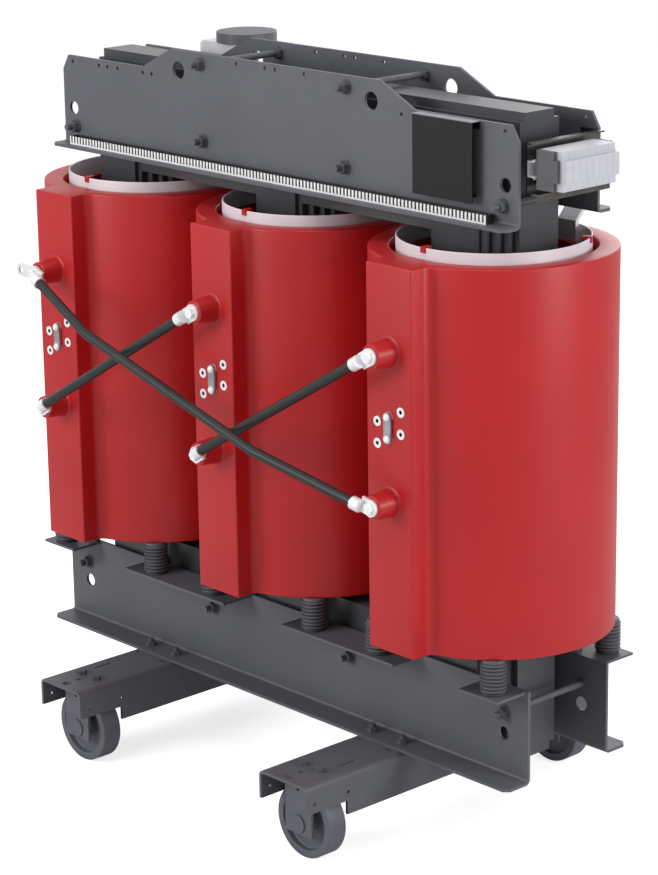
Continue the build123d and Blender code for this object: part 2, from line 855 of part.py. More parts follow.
link_face = block_face + tap_ring_proud
with BuildPart() as tap_links:
    with BuildSketch(Plane.XZ.offset(link_face)):
        with Locations(*[(x, tap_centre_z) for x in coil_centres.values()]):
            SlotCenterToCenter(tap_row, tap_link_width, rotation=90)
        with Locations(*[point for x in coil_centres.values() for point in tap_points(x)[2:4]]):
            Circle(small_bolt_radius, mode=Mode.SUBTRACT)
    extrude(amount=tap_link_sheet)
save(tap_links.part, "tap_links")

with BuildPart() as tap_link_screws:
    screw_points = [point for x in coil_centres.values() for point in tap_points(x)[2:4]]
    with BuildSketch(Plane.XZ.offset(link_face + tap_link_sheet)):
        with Locations(*screw_points):
            RegularPolygon(hexagon(small_bolt_flats), 6)
    extrude(amount=small_bolt_head)
    with BuildSketch(Plane.XZ.offset(link_face + tap_link_sheet)):
        with Locations(*screw_points):
            Circle(tap_hole_radius)
    extrude(amount=-tap_link_sheet - tap_ring_depth)
save(tap_link_screws.part, "tap_link_screws")

# ---- Coil seats ----------------------------------------------------------------------------------
with BuildPart() as post_insulators:
    post_seat = post_radius - post_seat_step
    rib_pitch = (hv_bottom - post_base - 2 * post_cap) / post_ribs
    with BuildSketch(Plane.XZ):
        with BuildLine():
            profile = [(0, post_base), (post_seat, post_base), (post_seat, post_base + post_cap)]
            for rib in range(post_ribs):
                foot = post_base + post_cap + rib * rib_pitch
                profile += [(post_waist, foot), (post_radius, foot + rib_pitch / 2)]
            profile += [(post_waist, hv_bottom - post_cap), (post_seat, hv_bottom - post_cap)]
            profile += [(post_seat, hv_bottom), (0, hv_bottom)]
            Polyline(*profile, close=True)
        make_face()
    post = revolve(axis=Axis.Z, mode=Mode.PRIVATE)
    with Locations(*[(x, y, 0) for x, y in post_points]):
        add(post)
save(post_insulators.part, "post_insulators")

with BuildPart() as post_bolts:
    tab_under = bottom_frame_top - seat_tab_sheet
    with BuildSketch(Plane.XY.offset(tab_under)):
        with Locations(*post_points):
            RegularPolygon(hexagon(small_bolt_flats), 6)
    extrude(amount=-small_bolt_head)
    with BuildSketch(Plane.XY.offset(tab_under)):
        with Locations(*post_points):
            Circle(small_bolt_radius)
    extrude(amount=seat_tab_sheet)
save(post_bolts.part, "post_bolts")

lv_middle_radius = (lv_outer_radius + lv_inner_radius) / 2
lv_post_offset_y = sqrt(lv_middle_radius**2 - lv_post_offset_x**2)
with BuildPart() as lv_posts:
    with BuildSketch(Plane.XY.offset(post_base)):
        for x in coil_centres.values():
            with Locations((x, 0)):
                with GridLocations(2 * lv_post_offset_x, 2 * lv_post_offset_y, 2, 2):
                    Circle(lv_post_radius)
    extrude(amount=lv_bottom - post_base)
save(lv_posts.part, "lv_posts")


# ---- Delta links ---------------------------------------------------------------------------------
class LinkEnd:
    """Lug at one bushing: where its bolt is and where its barrel ends."""

    def __init__(self, x, z, toward, lift):
        self.bolt = Vector(x, tip_y - lift, z)
        self.axis_y = tip_y - lift - lug_offset
        flat = Vector(toward[0] - x, 0, toward[2] - z).normalized()
        self.flat = flat
        self.start = Vector(x, self.axis_y, z) + flat * lug_barrel_start
        self.lean = (Vector(*toward) - self.start).normalized()
        self.mouth = self.start + self.lean * lug_barrel_length


def straight_link(upper_x, lower_x):
    """The two ends of a link that runs straight from an upper to a lower bushing."""
    level = tip_y - lug_offset
    upper = LinkEnd(upper_x, bushing_upper_z, (lower_x, level, bushing_lower_z), 0)
    lower = LinkEnd(lower_x, bushing_lower_z, (upper_x, level, bushing_upper_z), 0)
    return upper, lower


bow_y = tip_y - lug_offset - long_link_bow
long_bends = [(x, bow_y, hv_bottom + height) for x, height in zip(long_link_bend_x, long_link_bend_height)]
link_ends = {
    "a": (
        LinkEnd(-coil_pitch, bushing_upper_z, long_bends[0], flag_sheet),
        LinkEnd(coil_pitch, bushing_lower_z, long_bends[1], 0),
    ),
    "b": straight_link(0, -coil_pitch),
    "c": straight_link(coil_pitch, 0),
}
link_bends = {"a": long_bends, "b": [], "c": []}

for letter, (first, last) in link_ends.items():
    with BuildPart() as delta_link:
        with BuildLine() as route:
            if link_bends[letter]:
                FilletPolyline(first.mouth, *link_bends[letter], last.mouth, radius=long_link_bend_radius)
            else:
                Line(first.mouth, last.mouth)
        with BuildSketch(Plane(origin=first.mouth, z_dir=route.line % 0)):
            Circle(link_radius)
        sweep()
    save(delta_link.part, "delta_link_" + letter)

lug_palm_reach = lug_barrel_start + lug_palm_tail
all_ends = [end for pair in link_ends.values() for end in pair]
with BuildPart() as delta_lugs:
    for end in all_ends:
        palm_plane = Plane(origin=end.bolt, x_dir=end.flat, z_dir=(0, -1, 0))
        with BuildSketch(palm_plane):
            Circle(lug_palm_end)
            with Locations((lug_palm_reach / 2, 0)):
                Rectangle(lug_palm_reach, lug_palm_width)
            Circle(terminal_bolt_radius + seat_gap, mode=Mode.SUBTRACT)
        extrude(amount=lug_palm_sheet)
        with BuildSketch(Plane(origin=end.start, z_dir=end.lean)):
            Circle(lug_barrel_radius)
        extrude(amount=lug_barrel_length)
save(delta_lugs.part, "delta_lugs")

with BuildPart() as terminal_bolts:
    for end in all_ends:
        palm_face = end.bolt + Vector(0, -lug_palm_sheet, 0)
        with BuildSketch(Plane(origin=palm_face, x_dir=(1, 0, 0), z_dir=(0, -1, 0))):
            RegularPolygon(hexagon(terminal_bolt_flats), 6)
        extrude(amount=terminal_bolt_head)
        with BuildSketch(Plane(origin=palm_face, x_dir=(1, 0, 0), z_dir=(0, -1, 0))):
            Circle(terminal_bolt_radius)
        extrude(amount=-lug_palm_sheet - bushing_thread_depth + flag_sheet)
save(terminal_bolts.part, "terminal_bolts")

with BuildPart() as hv_flag:
    with BuildSketch(Plane(origin=(-coil_pitch, tip_y, bushing_upper_z), x_dir=(1, 0, 0), z_dir=(0, -1, 0))):
        with Locations((-flag_reach / 2, 0)):
            SlotCenterToCenter(flag_reach, flag_width)
        Circle(terminal_bolt_radius + seat_gap, mode=Mode.SUBTRACT)
        with Locations((-flag_reach, 0)):
            Circle(flag_hole_radius, mode=Mode.SUBTRACT)
    extrude(amount=flag_sheet)
save(hv_flag.part, "hv_flag")


# ---- Low voltage bars ----------------------------------------------------------------------------
def lead(x, y, top):
    """Flat bar that leaves the winding, kicks back and rises behind the frame."""
    with BuildPart() as body:
        with BuildSketch(Plane.YZ.offset(x)):
            with BuildLine():
                Polyline(
                    (lv_middle_radius, lv_top),
                    (lv_middle_radius, bar_kick_start),
                    (y, bar_kick_end),
                    (y, top),
                )
            trace(line_width=bar_sheet)
        extrude(amount=bar_width / 2, both=True)
    return body.part


neutral_y = bar_y + neutral_gap
neutral_top = neutral_bar_z + neutral_bar_height / 2
phase_bar_x = [x + bar_offset_x for x in coil_centres.values()]
neutral_lead_x = [x - bar_offset_x for x in coil_centres.values()]
with BuildPart() as lv_leads:
    for phase_x, neutral_x in zip(phase_bar_x, neutral_lead_x):
        add(lead(phase_x, bar_y, phase_bar_top))
        add(lead(neutral_x, neutral_y, neutral_top))
    with BuildSketch(Plane.XZ.offset(-bar_y)):
        for drop in (bar_hole_inset, bar_hole_inset + bar_hole_spacing):
            with Locations(*[(x, phase_bar_top - drop) for x in phase_bar_x]):
                Circle(bar_hole_radius)
    extrude(amount=bar_sheet, both=True, mode=Mode.SUBTRACT)
save(lv_leads.part, "lv_leads")

neutral_face = neutral_y + bar_sheet / 2
with BuildPart() as neutral_bar:
    low_x = neutral_lead_x[0] - bar_width / 2
    high_x = neutral_lead_x[-1] + bar_width / 2
    with BuildSketch(Plane.XZ.offset(-neutral_face)):
        with Locations(((low_x + high_x) / 2, neutral_bar_z)):
            Rectangle(high_x - low_x, neutral_bar_height)
        with Locations((neutral_riser_x, (neutral_top + shelf_z) / 2)):
            Rectangle(bar_width, shelf_z - neutral_top)
    extrude(amount=-bar_sheet)
save(neutral_bar.part, "neutral_bar")

shelf_back = neutral_face + bar_sheet
shelf_middle = shelf_back - shelf_depth / 2
with BuildPart() as neutral_shelf:
    with Locations((shelf_centre_x, shelf_middle, shelf_z + shelf_sheet / 2)):
        Box(shelf_length, shelf_depth, shelf_sheet)
    with Locations((shelf_centre_x, shelf_back - shelf_depth + shelf_sheet / 2, shelf_z - shelf_apron / 2)):
        Box(shelf_length + 2 * shelf_sheet, shelf_sheet, shelf_apron)
save(neutral_shelf.part, "neutral_shelf")

with BuildPart() as neutral_cap:
    with BuildSketch(Plane.XY.offset(shelf_z + shelf_sheet)):
        with Locations((shelf_centre_x, shelf_middle)):
            Circle(cap_radius)
    extrude(amount=cap_height)
    fillet(neutral_cap.edges().group_by(Axis.Z)[-1], cap_edge)
save(neutral_cap.part, "neutral_cap")

with BuildPart() as bar_standoffs:
    with BuildSketch(Plane.XZ.offset(-web_outer)):
        with Locations(*[(x, standoff_z) for x in phase_bar_x]):
            Circle(standoff_radius)
    extrude(amount=-(bar_y - bar_sheet / 2 - web_outer))
    with BuildSketch(Plane.XZ.offset(-web_outer)):
        with Locations((neutral_riser_x, standoff_z)):
            Circle(standoff_radius)
    extrude(amount=-(neutral_face - web_outer))
save(bar_standoffs.part, "bar_standoffs")

# ---- Wiring duct and rating plate ----------------------------------------------------------------
duct_back = web_outer + frame_bend - frame_sheet
duct_base = top_frame_bottom + frame_sheet
with BuildPart() as wiring_duct:
    with Locations((duct_centre_x, -duct_back - duct_depth / 2, duct_base + duct_height / 2)):
        Box(duct_length, duct_depth, duct_height)
    with Locations((duct_centre_x, -duct_back - duct_depth / 2, duct_base + duct_height / 2 + duct_wall)):
        Box(duct_length - 2 * duct_wall, duct_depth - 2 * duct_wall, duct_height, mode=Mode.SUBTRACT)
    slot_pitch = (duct_length - 2 * duct_wall) / duct_slots
    with BuildSketch(Plane.XZ.offset(duct_back + duct_depth - duct_wall)):
        with Locations((duct_centre_x, duct_base + duct_height / 2 + 2 * duct_wall)):
            with GridLocations(slot_pitch, 0, duct_slots, 1):
                Rectangle(duct_slot, duct_height)
    extrude(amount=duct_wall, mode=Mode.SUBTRACT)
save(wiring_duct.part, "wiring_duct")

with BuildPart() as rating_plate:
    plate_top = plate_bottom + plate_height
    plate_back = -(web_outer + seat_gap)
    plate_front = -(web_outer + plate_stand)
    with BuildSketch(Plane.YZ.offset(plate_centre_x)):
        with BuildLine():
            Polyline(
                (plate_front + plate_sheet / 2, plate_bottom),
                (plate_front + plate_sheet / 2, plate_top),
                (plate_back - plate_sheet / 2, plate_top),
                (plate_back - plate_sheet / 2, plate_top - plate_lip),
            )
        trace(line_width=plate_sheet)
    extrude(amount=plate_width / 2, both=True)
    with BuildSketch(Plane.XZ.offset(-plate_back)):
        with Locations((plate_centre_x, plate_bottom + plate_boss_inset)):
            with GridLocations(plate_width - 2 * plate_boss_inset, 0, 2, 1):
                Circle(plate_boss_radius)
    extrude(amount=plate_back - plate_front - plate_sheet)
save(rating_plate.part, "rating_plate")

# ---- Terminal strip at the right end -------------------------------------------------------------
wall_face = half_top + bracket_sheet
bracket_back = web_inner - seat_gap
bracket_top = bracket_bottom + bracket_height
bracket_depth = bracket_back - bracket_front
bracket_middle = (bracket_back + bracket_front) / 2
with BuildPart() as terminal_bracket:
    with Locations((half_top + bracket_sheet / 2, bracket_middle, bracket_bottom + bracket_height / 2)):
        Box(bracket_sheet, bracket_depth, bracket_height)
    with Locations((wall_face + bracket_top_flange / 2, bracket_middle, bracket_top - bracket_sheet / 2)):
        Box(bracket_top_flange, bracket_depth, bracket_sheet)
    flange_middle = wall_face + bracket_bottom_flange / 2
    with Locations((flange_middle, bracket_middle, bracket_bottom + bracket_sheet / 2)):
        Box(bracket_bottom_flange, bracket_depth, bracket_sheet)
    with Locations(
        (
            wall_face + bracket_bottom_flange - bracket_sheet / 2,
            bracket_middle,
            bracket_bottom + bracket_sheet - bracket_lip / 2,
        )
    ):
        Box(bracket_sheet, bracket_depth, bracket_lip)
    with Locations(
        (half_top - bracket_ear / 2, bracket_back - bracket_sheet / 2, bracket_bottom + bracket_height / 2)
    ):
        Box(bracket_ear, bracket_sheet, bracket_height)
save(terminal_bracket.part, "terminal_bracket")

row_length = terminal_count * terminal_pitch
row_start = bracket_front + terminal_inset + clamp_thickness
din_length = row_length + 2 * (clamp_thickness + terminal_inset)
din_z = bracket_bottom + bracket_height / 2
with BuildPart() as din_rail:
    half_throat = din_throat / 2
    with BuildSketch(Plane.XZ.offset(-(bracket_front + seat_gap))):
        with BuildLine():
            Polyline(
                (wall_face + din_depth - din_sheet / 2, din_z - din_height / 2),
                (wall_face + din_depth - din_sheet / 2, din_z - half_throat),
                (wall_face + din_sheet / 2, din_z - half_throat),
                (wall_face + din_sheet / 2, din_z + half_throat),
                (wall_face + din_depth - din_sheet / 2, din_z + half_throat),
                (wall_face + din_depth - din_sheet / 2, din_z + din_height / 2),
            )
        trace(line_width=din_sheet)
    extrude(amount=-din_length)
save(din_rail.part, "din_rail")

block_back = wall_face + din_depth + seat_gap


def stepped_outline(steps):
    """Half outline of a rail-mounted piece: heights above its middle with the depth reached there."""
    points = [(block_back, din_z - block_height / 2)]
    for (low, high), depth in steps:
        points += [(block_back + depth, din_z + low), (block_back + depth, din_z + high)]
    points.append((block_back, din_z + block_height / 2))
    return points


half_block = block_height / 2
terminal_steps = [
    ((-half_block, -block_nose), block_depth - block_step),
    ((-block_nose, block_nose), block_depth),
    ((block_nose, half_block), block_depth - 1.3 * block_step),
]
clamp_steps = [
    ((-half_block, -block_nose), block_depth - 3 * block_step),
    ((-block_nose, block_nose), block_depth - 2 * block_step),
    ((block_nose, half_block), block_depth - 3 * block_step),
]
with BuildPart() as terminal_blocks:
    for index in range(terminal_count):
        with BuildSketch(Plane.XZ.offset(-(row_start + index * terminal_pitch))):
            with BuildLine():
                Polyline(*stepped_outline(terminal_steps), close=True)
            make_face()
        extrude(amount=-(terminal_pitch - seat_gap))
save(terminal_blocks.part, "terminal_blocks")

with BuildPart() as terminal_clamps:
    for start in (row_start - clamp_thickness, row_start + row_length):
        with BuildSketch(Plane.XZ.offset(-start)):
            with BuildLine():
                Polyline(*stepped_outline(clamp_steps), close=True)
            make_face()
        extrude(amount=-(clamp_thickness - seat_gap))
save(terminal_clamps.part, "terminal_clamps")
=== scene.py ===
"""Visual model of a three-phase dry type transformer with cast resin windings.

Lengths in the class fields are millimetres, as on a workshop drawing, and meshes are metres.
X runs along the length, -Y is the high voltage side and +Z is up.
"""

import json
import logging
import math
from dataclasses import dataclass, field
from enum import Enum

import bmesh
import bpy
import numpy as np
from mathutils import Matrix, Vector
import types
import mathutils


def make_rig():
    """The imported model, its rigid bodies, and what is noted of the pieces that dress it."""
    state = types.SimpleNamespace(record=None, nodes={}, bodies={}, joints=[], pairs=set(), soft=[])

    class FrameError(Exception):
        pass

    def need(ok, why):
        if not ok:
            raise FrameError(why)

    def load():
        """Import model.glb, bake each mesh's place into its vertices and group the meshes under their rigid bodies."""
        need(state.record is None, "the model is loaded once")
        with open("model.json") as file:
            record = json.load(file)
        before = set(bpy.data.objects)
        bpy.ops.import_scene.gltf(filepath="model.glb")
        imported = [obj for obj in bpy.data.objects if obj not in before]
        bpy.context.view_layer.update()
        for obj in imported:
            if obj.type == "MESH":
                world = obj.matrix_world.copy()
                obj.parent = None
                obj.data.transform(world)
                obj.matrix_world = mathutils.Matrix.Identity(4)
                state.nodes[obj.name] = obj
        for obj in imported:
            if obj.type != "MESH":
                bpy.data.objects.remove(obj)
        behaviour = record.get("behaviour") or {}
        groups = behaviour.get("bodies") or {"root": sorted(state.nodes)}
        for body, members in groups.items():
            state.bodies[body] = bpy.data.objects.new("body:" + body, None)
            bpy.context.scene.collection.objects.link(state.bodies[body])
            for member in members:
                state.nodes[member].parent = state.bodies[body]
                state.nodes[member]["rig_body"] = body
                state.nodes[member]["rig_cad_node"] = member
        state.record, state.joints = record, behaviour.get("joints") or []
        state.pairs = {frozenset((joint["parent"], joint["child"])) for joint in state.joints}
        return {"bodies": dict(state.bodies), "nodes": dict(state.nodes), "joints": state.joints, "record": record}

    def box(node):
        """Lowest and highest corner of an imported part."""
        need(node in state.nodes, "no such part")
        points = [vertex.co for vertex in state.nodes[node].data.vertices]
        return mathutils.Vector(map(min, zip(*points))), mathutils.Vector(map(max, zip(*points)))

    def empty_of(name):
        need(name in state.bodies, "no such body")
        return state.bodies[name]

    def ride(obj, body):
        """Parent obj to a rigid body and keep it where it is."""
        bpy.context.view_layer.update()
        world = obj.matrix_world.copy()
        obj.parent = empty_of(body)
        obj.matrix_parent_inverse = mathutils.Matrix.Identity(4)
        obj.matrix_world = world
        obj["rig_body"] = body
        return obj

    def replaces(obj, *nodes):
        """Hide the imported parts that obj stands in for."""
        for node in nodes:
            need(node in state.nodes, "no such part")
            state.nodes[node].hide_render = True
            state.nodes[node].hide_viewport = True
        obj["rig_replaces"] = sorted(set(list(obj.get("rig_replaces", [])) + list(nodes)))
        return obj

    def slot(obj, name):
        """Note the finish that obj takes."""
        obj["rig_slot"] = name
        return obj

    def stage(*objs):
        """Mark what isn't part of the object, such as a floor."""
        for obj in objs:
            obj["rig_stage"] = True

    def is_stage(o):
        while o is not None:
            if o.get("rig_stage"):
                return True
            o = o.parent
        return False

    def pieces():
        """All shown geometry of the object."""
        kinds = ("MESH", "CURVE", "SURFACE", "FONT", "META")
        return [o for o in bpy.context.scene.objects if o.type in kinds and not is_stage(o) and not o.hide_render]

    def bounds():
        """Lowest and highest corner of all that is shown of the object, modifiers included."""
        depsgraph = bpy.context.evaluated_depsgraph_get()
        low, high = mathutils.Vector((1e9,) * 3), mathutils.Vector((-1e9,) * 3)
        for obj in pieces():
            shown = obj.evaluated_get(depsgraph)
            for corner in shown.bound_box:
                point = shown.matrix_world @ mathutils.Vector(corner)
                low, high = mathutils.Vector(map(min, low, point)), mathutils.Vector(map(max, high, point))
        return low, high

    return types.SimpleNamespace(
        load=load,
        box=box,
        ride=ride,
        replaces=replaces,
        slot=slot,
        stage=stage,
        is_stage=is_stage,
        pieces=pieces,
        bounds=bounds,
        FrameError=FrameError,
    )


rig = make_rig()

log = logging.getLogger("transformer")

MM = 0.001
BODY = "transformer"
SIDES = ("left", "centre", "right")
CORNERS = ("front_left", "front_right", "back_left", "back_right")
# Height of the fold in the rating plate, where its pale upper edge starts.
PLATE_LIP_MM = 1381.2

# Points closer than this are one point.
MERGE_M = 2e-6
# The part of a noise's height that the change of colour, and of gloss, runs over.
MOTTLE_SPAN = (0.35, 0.7)
GRAIN_SPAN = (0.3, 0.7)
MOTTLE_DETAIL = 4.0
GRAIN_DETAIL = 2.0
# A band wave's scale for one wave a metre.
WAVES_PER_SHEET = 0.314

MIX_FACTOR = 0
MIX_A = 6
MIX_B = 7
MIX_RESULT = 2


# ---- Small helpers ---------------------------------------------------------------------------------


def linear(hex_colour: str) -> tuple[float, float, float, float]:
    """Turn an sRGB hex colour into linear light.

    Args:
        hex_colour: Six hex digits, such as "C62C2E".

    Returns:
        Red, green, blue and an alpha of 1.
    """
    channels = [int(hex_colour[i : i + 2], 16) / 255 for i in (0, 2, 4)]
    light = [c / 12.92 if c <= 0.04045 else ((c + 0.055) / 1.055) ** 2.4 for c in channels]
    return (*light, 1.0)


def add_node(
    tree: bpy.types.NodeTree,
    kind: str,
    inputs: dict | None = None,
    **settings: object,
) -> bpy.types.Node:
    """Add one shader node with its settings and links.

    Args:
        tree: The node tree that takes the node.
        kind: The node's Blender class name.
        inputs: Values or output sockets, by the name or number of the input they go to.
        **settings: Properties of the node itself.

    Returns:
        The new node.
    """
    node = tree.nodes.new(kind)
    for key, value in settings.items():
        setattr(node, key, value)
    for key, value in (inputs or {}).items():
        if isinstance(value, bpy.types.NodeSocket):
            tree.links.new(value, node.inputs[key])
        else:
            node.inputs[key].default_value = value
    return node


def grid_mesh(
    name: str,
    sheets: list[np.ndarray],
    sharp_deg: float = 38.0,
) -> bpy.types.Object:
    """Turn grids of points into one mesh of quads.

    Point (i, j) of a sheet joins its neighbours (i + 1, j) and (i, j + 1). A grid that meets
    itself repeats its first row or column, and points that coincide are merged, which closes
    seams and poles.

    Args:
        name: Name of the new object.
        sheets: Arrays of shape (rows, columns, 3), in metres.
        sharp_deg: Edges that turn more than this stay crisp.

    Returns:
        The new object, at the origin.
    """
    points, faces, start = [], [], 0
    for sheet in sheets:
        rows, columns = sheet.shape[:2]
        index = start + np.arange(rows * columns).reshape(rows, columns)
        quads = np.stack(
            [index[:-1, :-1], index[1:, :-1], index[1:, 1:], index[:-1, 1:]], axis=-1
        )
        points.append(sheet.reshape(-1, 3))
        faces.append(quads.reshape(-1, 4))
        start += rows * columns
    mesh = bpy.data.meshes.new(name)
    mesh.from_pydata(np.concatenate(points), [], np.concatenate(faces).tolist())
    work = bmesh.new()
    work.from_mesh(mesh)
    bmesh.ops.remove_doubles(work, verts=work.verts, dist=MERGE_M)
    bmesh.ops.dissolve_degenerate(work, dist=MERGE_M, edges=work.edges)
    bmesh.ops.recalc_face_normals(work, faces=work.faces)
    work.to_mesh(mesh)
    work.free()
    mesh.shade_smooth()
    mesh.set_sharp_from_angle(angle=math.radians(sharp_deg))
    made = bpy.data.objects.new(name, mesh)
    bpy.context.scene.collection.objects.link(made)
    return made


def turned(profile: np.ndarray, centre: Vector, axis: str, steps: int) -> np.ndarray:
    """Turn a profile about an axis through a point.

    A profile point (r, h) at angle t goes to r cos t and r sin t across the axis and h along it.

    Args:
        profile: Array of (radius, height) rows, in millimetres.
        centre: Where radius 0 and height 0 lie, in metres.
        axis: "Z" for an upright axis or "Y" for one that points to the high voltage side.
        steps: Number of steps round the turn.

    Returns:
        A grid of points, in metres.
    """
    turn = np.linspace(0, 2 * np.pi, steps + 1)
    radius, height = profile[:, 0, None] * MM, profile[:, 1, None] * MM
    across, beside = radius * np.cos(turn), radius * np.sin(turn)
    along = np.broadcast_to(height, across.shape)
    stack = (across, beside, along) if axis == "Z" else (across, -along, beside)
    return np.stack(stack, axis=-1) + np.array(centre)


def rounded(corners: list[tuple[float, float, float]], arc_steps: int = 6) -> np.ndarray:
    """Round the corners of a profile with arcs tangent to both sides.

    Args:
        corners: Rows of (radius, height, rounding), in millimetres. A rounding of 0 keeps a corner.
        arc_steps: Number of steps along each arc.

    Returns:
        Array of (radius, height) rows.
    """
    plan = np.array(corners, float)
    out = [plan[0, :2]]
    for before, here, after in zip(plan[:-2], plan[1:-1], plan[2:]):
        a, b, c = before[:2], here[:2], after[:2]
        to_a, to_c = (a - b) / np.linalg.norm(a - b), (c - b) / np.linalg.norm(c - b)
        half = 0.5 * math.acos(float(np.clip(to_a @ to_c, -1, 1)))
        if here[2] <= 0 or half > 1.56:
            out.append(b)
            continue
        reach = here[2] / math.tan(half)
        first, last = b + to_a * reach, b + to_c * reach
        middle = b + (to_a + to_c) / np.linalg.norm(to_a + to_c) * here[2] / math.sin(half)
        for share in np.linspace(0, 1, arc_steps + 1):
            ray = (first - middle) * (1 - share) + (last - middle) * share
            out.append(middle + ray / np.linalg.norm(ray) * here[2])
    out.append(plan[-1, :2])
    return np.array(out)


# ---- Finishes --------------------------------------------------------------------------------------


@dataclass(frozen=True)
class Finish:
    """A plain coated or moulded surface: a base colour, mottled, with a fine grain in its gloss.

    Attributes:
        name: Common name of the material and how its surface was made.
        colour: Main colour, sRGB hex.
        shade: Colour of its darker patches.
        metallic: 0 for a coating or a plastic, 1 for bare metal.
        roughness: Roughness in the smooth and in the dull parts.
        grain_mm: Size of the fine grain.
        mottle_mm: Size of the patches of colour.
        relief_mm: Height of the fine grain.
        ior: Index of refraction of a coating or plastic.
    """

    name: str
    colour: str
    shade: str
    metallic: float = 0.0
    roughness: tuple[float, float] = (0.4, 0.5)
    grain_mm: float = 1.5
    mottle_mm: float = 90.0
    relief_mm: float = 0.02
    ior: float = 1.5

    def pattern(self, tree: bpy.types.NodeTree, where: bpy.types.NodeSocket) -> bpy.types.NodeSocket:
        """Return the height of the surface's own grain, from 0 to 1."""
        grain = add_node(
            tree,
            "ShaderNodeTexNoise",
            {"Vector": where, "Scale": 1 / (self.grain_mm * MM), "Detail": GRAIN_DETAIL},
        )
        return grain.outputs[0]

    def toned(
        self, tree: bpy.types.NodeTree, where: bpy.types.NodeSocket, colour: bpy.types.NodeSocket
    ) -> bpy.types.NodeSocket:
        """Return the final colour, which is the mottled one unless a finish changes it."""
        return colour

    def material(self) -> bpy.types.Material:
        """Build the finish once and hand back the same material after that."""
        made = bpy.data.materials.get(self.name)
        if made is not None:
            return made
        made = bpy.data.materials.new(self.name)
        made.use_nodes = True
        tree = made.node_tree
        tree.nodes.clear()
        where = add_node(tree, "ShaderNodeTexCoord").outputs["Object"]
        height = self.pattern(tree, where)
        mottle = add_node(
            tree,
            "ShaderNodeTexNoise",
            {"Vector": where, "Scale": 1 / (self.mottle_mm * MM), "Detail": MOTTLE_DETAIL},
        )
        tint = add_node(
            tree,
            "ShaderNodeMapRange",
            {0: mottle.outputs[0], 1: MOTTLE_SPAN[0], 2: MOTTLE_SPAN[1], 3: 0.0, 4: 1.0},
        )
        colour = add_node(
            tree,
            "ShaderNodeMix",
            {MIX_FACTOR: tint.outputs[0], MIX_A: linear(self.colour), MIX_B: linear(self.shade)},
            data_type="RGBA",
        )
        low, high = self.roughness
        gloss = add_node(
            tree,
            "ShaderNodeMapRange",
            {0: height, 1: GRAIN_SPAN[0], 2: GRAIN_SPAN[1], 3: low, 4: high},
        )
        bump = add_node(
            tree,
            "ShaderNodeBump",
            {"Height": height, "Strength": 1.0, "Distance": self.relief_mm * MM},
        )
        shader = add_node(
            tree,
            "ShaderNodeBsdfPrincipled",
            {
                "Base Color": self.toned(tree, where, colour.outputs[MIX_RESULT]),
                "Roughness": gloss.outputs[0],
                "Normal": bump.outputs[0],
                "Metallic": self.metallic,
            },
        )
        if self.metallic < 1:
            shader.inputs["IOR"].default_value = self.ior
        out = add_node(tree, "ShaderNodeOutputMaterial", {"Surface": shader.outputs[0]})
        out.is_active_output = True
        return made

    def dress(self, piece: bpy.types.Object) -> None:
        """Give a piece this finish all over."""
        piece.data.materials.clear()
        piece.data.materials.append(self.material())
        indices = piece.data.attributes.get("material_index")
        if indices is not None:
            piece.data.attributes.remove(indices)


@dataclass(frozen=True)
class Laminated(Finish):
    """Steel sheets stacked along Y: their edges show as fine lines along the stack.

    Attributes:
        sheet_mm: Spacing of the lines, drawn coarser than the 0.3 mm of real core steel so that
            it shows.
    """

    sheet_mm: float = 2.4

    def pattern(self, tree: bpy.types.NodeTree, where: bpy.types.NodeSocket) -> bpy.types.NodeSocket:
        """Return sheet edges as a band wave along Y, roughened by noise."""
        bands = add_node(
            tree,
            "ShaderNodeTexWave",
            {
                "Vector": where,
                "Scale": WAVES_PER_SHEET / (self.sheet_mm * MM),
                "Distortion": 0.6,
                "Detail": 2.0,
                "Detail Scale": 3.0,
            },
            wave_type="BANDS",
            bands_direction="Y",
        )
        return bands.outputs[1]


@dataclass(frozen=True)
class Brushed(Finish):
    """Bare metal rubbed or rolled along one direction, which leaves long streaks.

    Attributes:
        stretch: How much longer than wide a streak is along X, Y and Z.
    """

    stretch: tuple[float, float, float] = (1.0, 1.0, 12.0)

    def pattern(self, tree: bpy.types.NodeTree, where: bpy.types.NodeSocket) -> bpy.types.NodeSocket:
        """Return noise that is drawn out along the rubbing direction."""
        squeezed = add_node(
            tree,
            "ShaderNodeMapping",
            {"Vector": where, "Scale": tuple(1 / s for s in self.stretch)},
        )
        streaks = add_node(
            tree,
            "ShaderNodeTexNoise",
            {"Vector": squeezed.outputs[0], "Scale": 1 / (self.grain_mm * MM), "Detail": 3.0},
        )
        return streaks.outputs[0]


@dataclass(frozen=True)
class Parted(Finish):
    """Two mouldings or sheets in one solid, whose colours part at a plane.

    Attributes:
        beyond: Colour past the plane, sRGB hex.
        axis: Axis that the plane is square to.
        plane_mm: Where the plane cuts the axis. Past it is towards the axis's larger values.
    """

    beyond: str = "FFFFFF"
    axis: str = "Y"
    plane_mm: float = 0.0

    def toned(
        self, tree: bpy.types.NodeTree, where: bpy.types.NodeSocket, colour: bpy.types.NodeSocket
    ) -> bpy.types.NodeSocket:
        """Return the mottled colour up to the plane and the other one past it."""
        parts = add_node(tree, "ShaderNodeSeparateXYZ", {0: where})
        past = add_node(
            tree,
            "ShaderNodeMath",
            {0: parts.outputs[self.axis], 1: self.plane_mm * MM},
            operation="GREATER_THAN",
        )
        mix = add_node(
            tree,
            "ShaderNodeMix",
            {MIX_FACTOR: past.outputs[0], MIX_A: colour, MIX_B: linear(self.beyond)},
            data_type="RGBA",
        )
        return mix.outputs[MIX_RESULT]


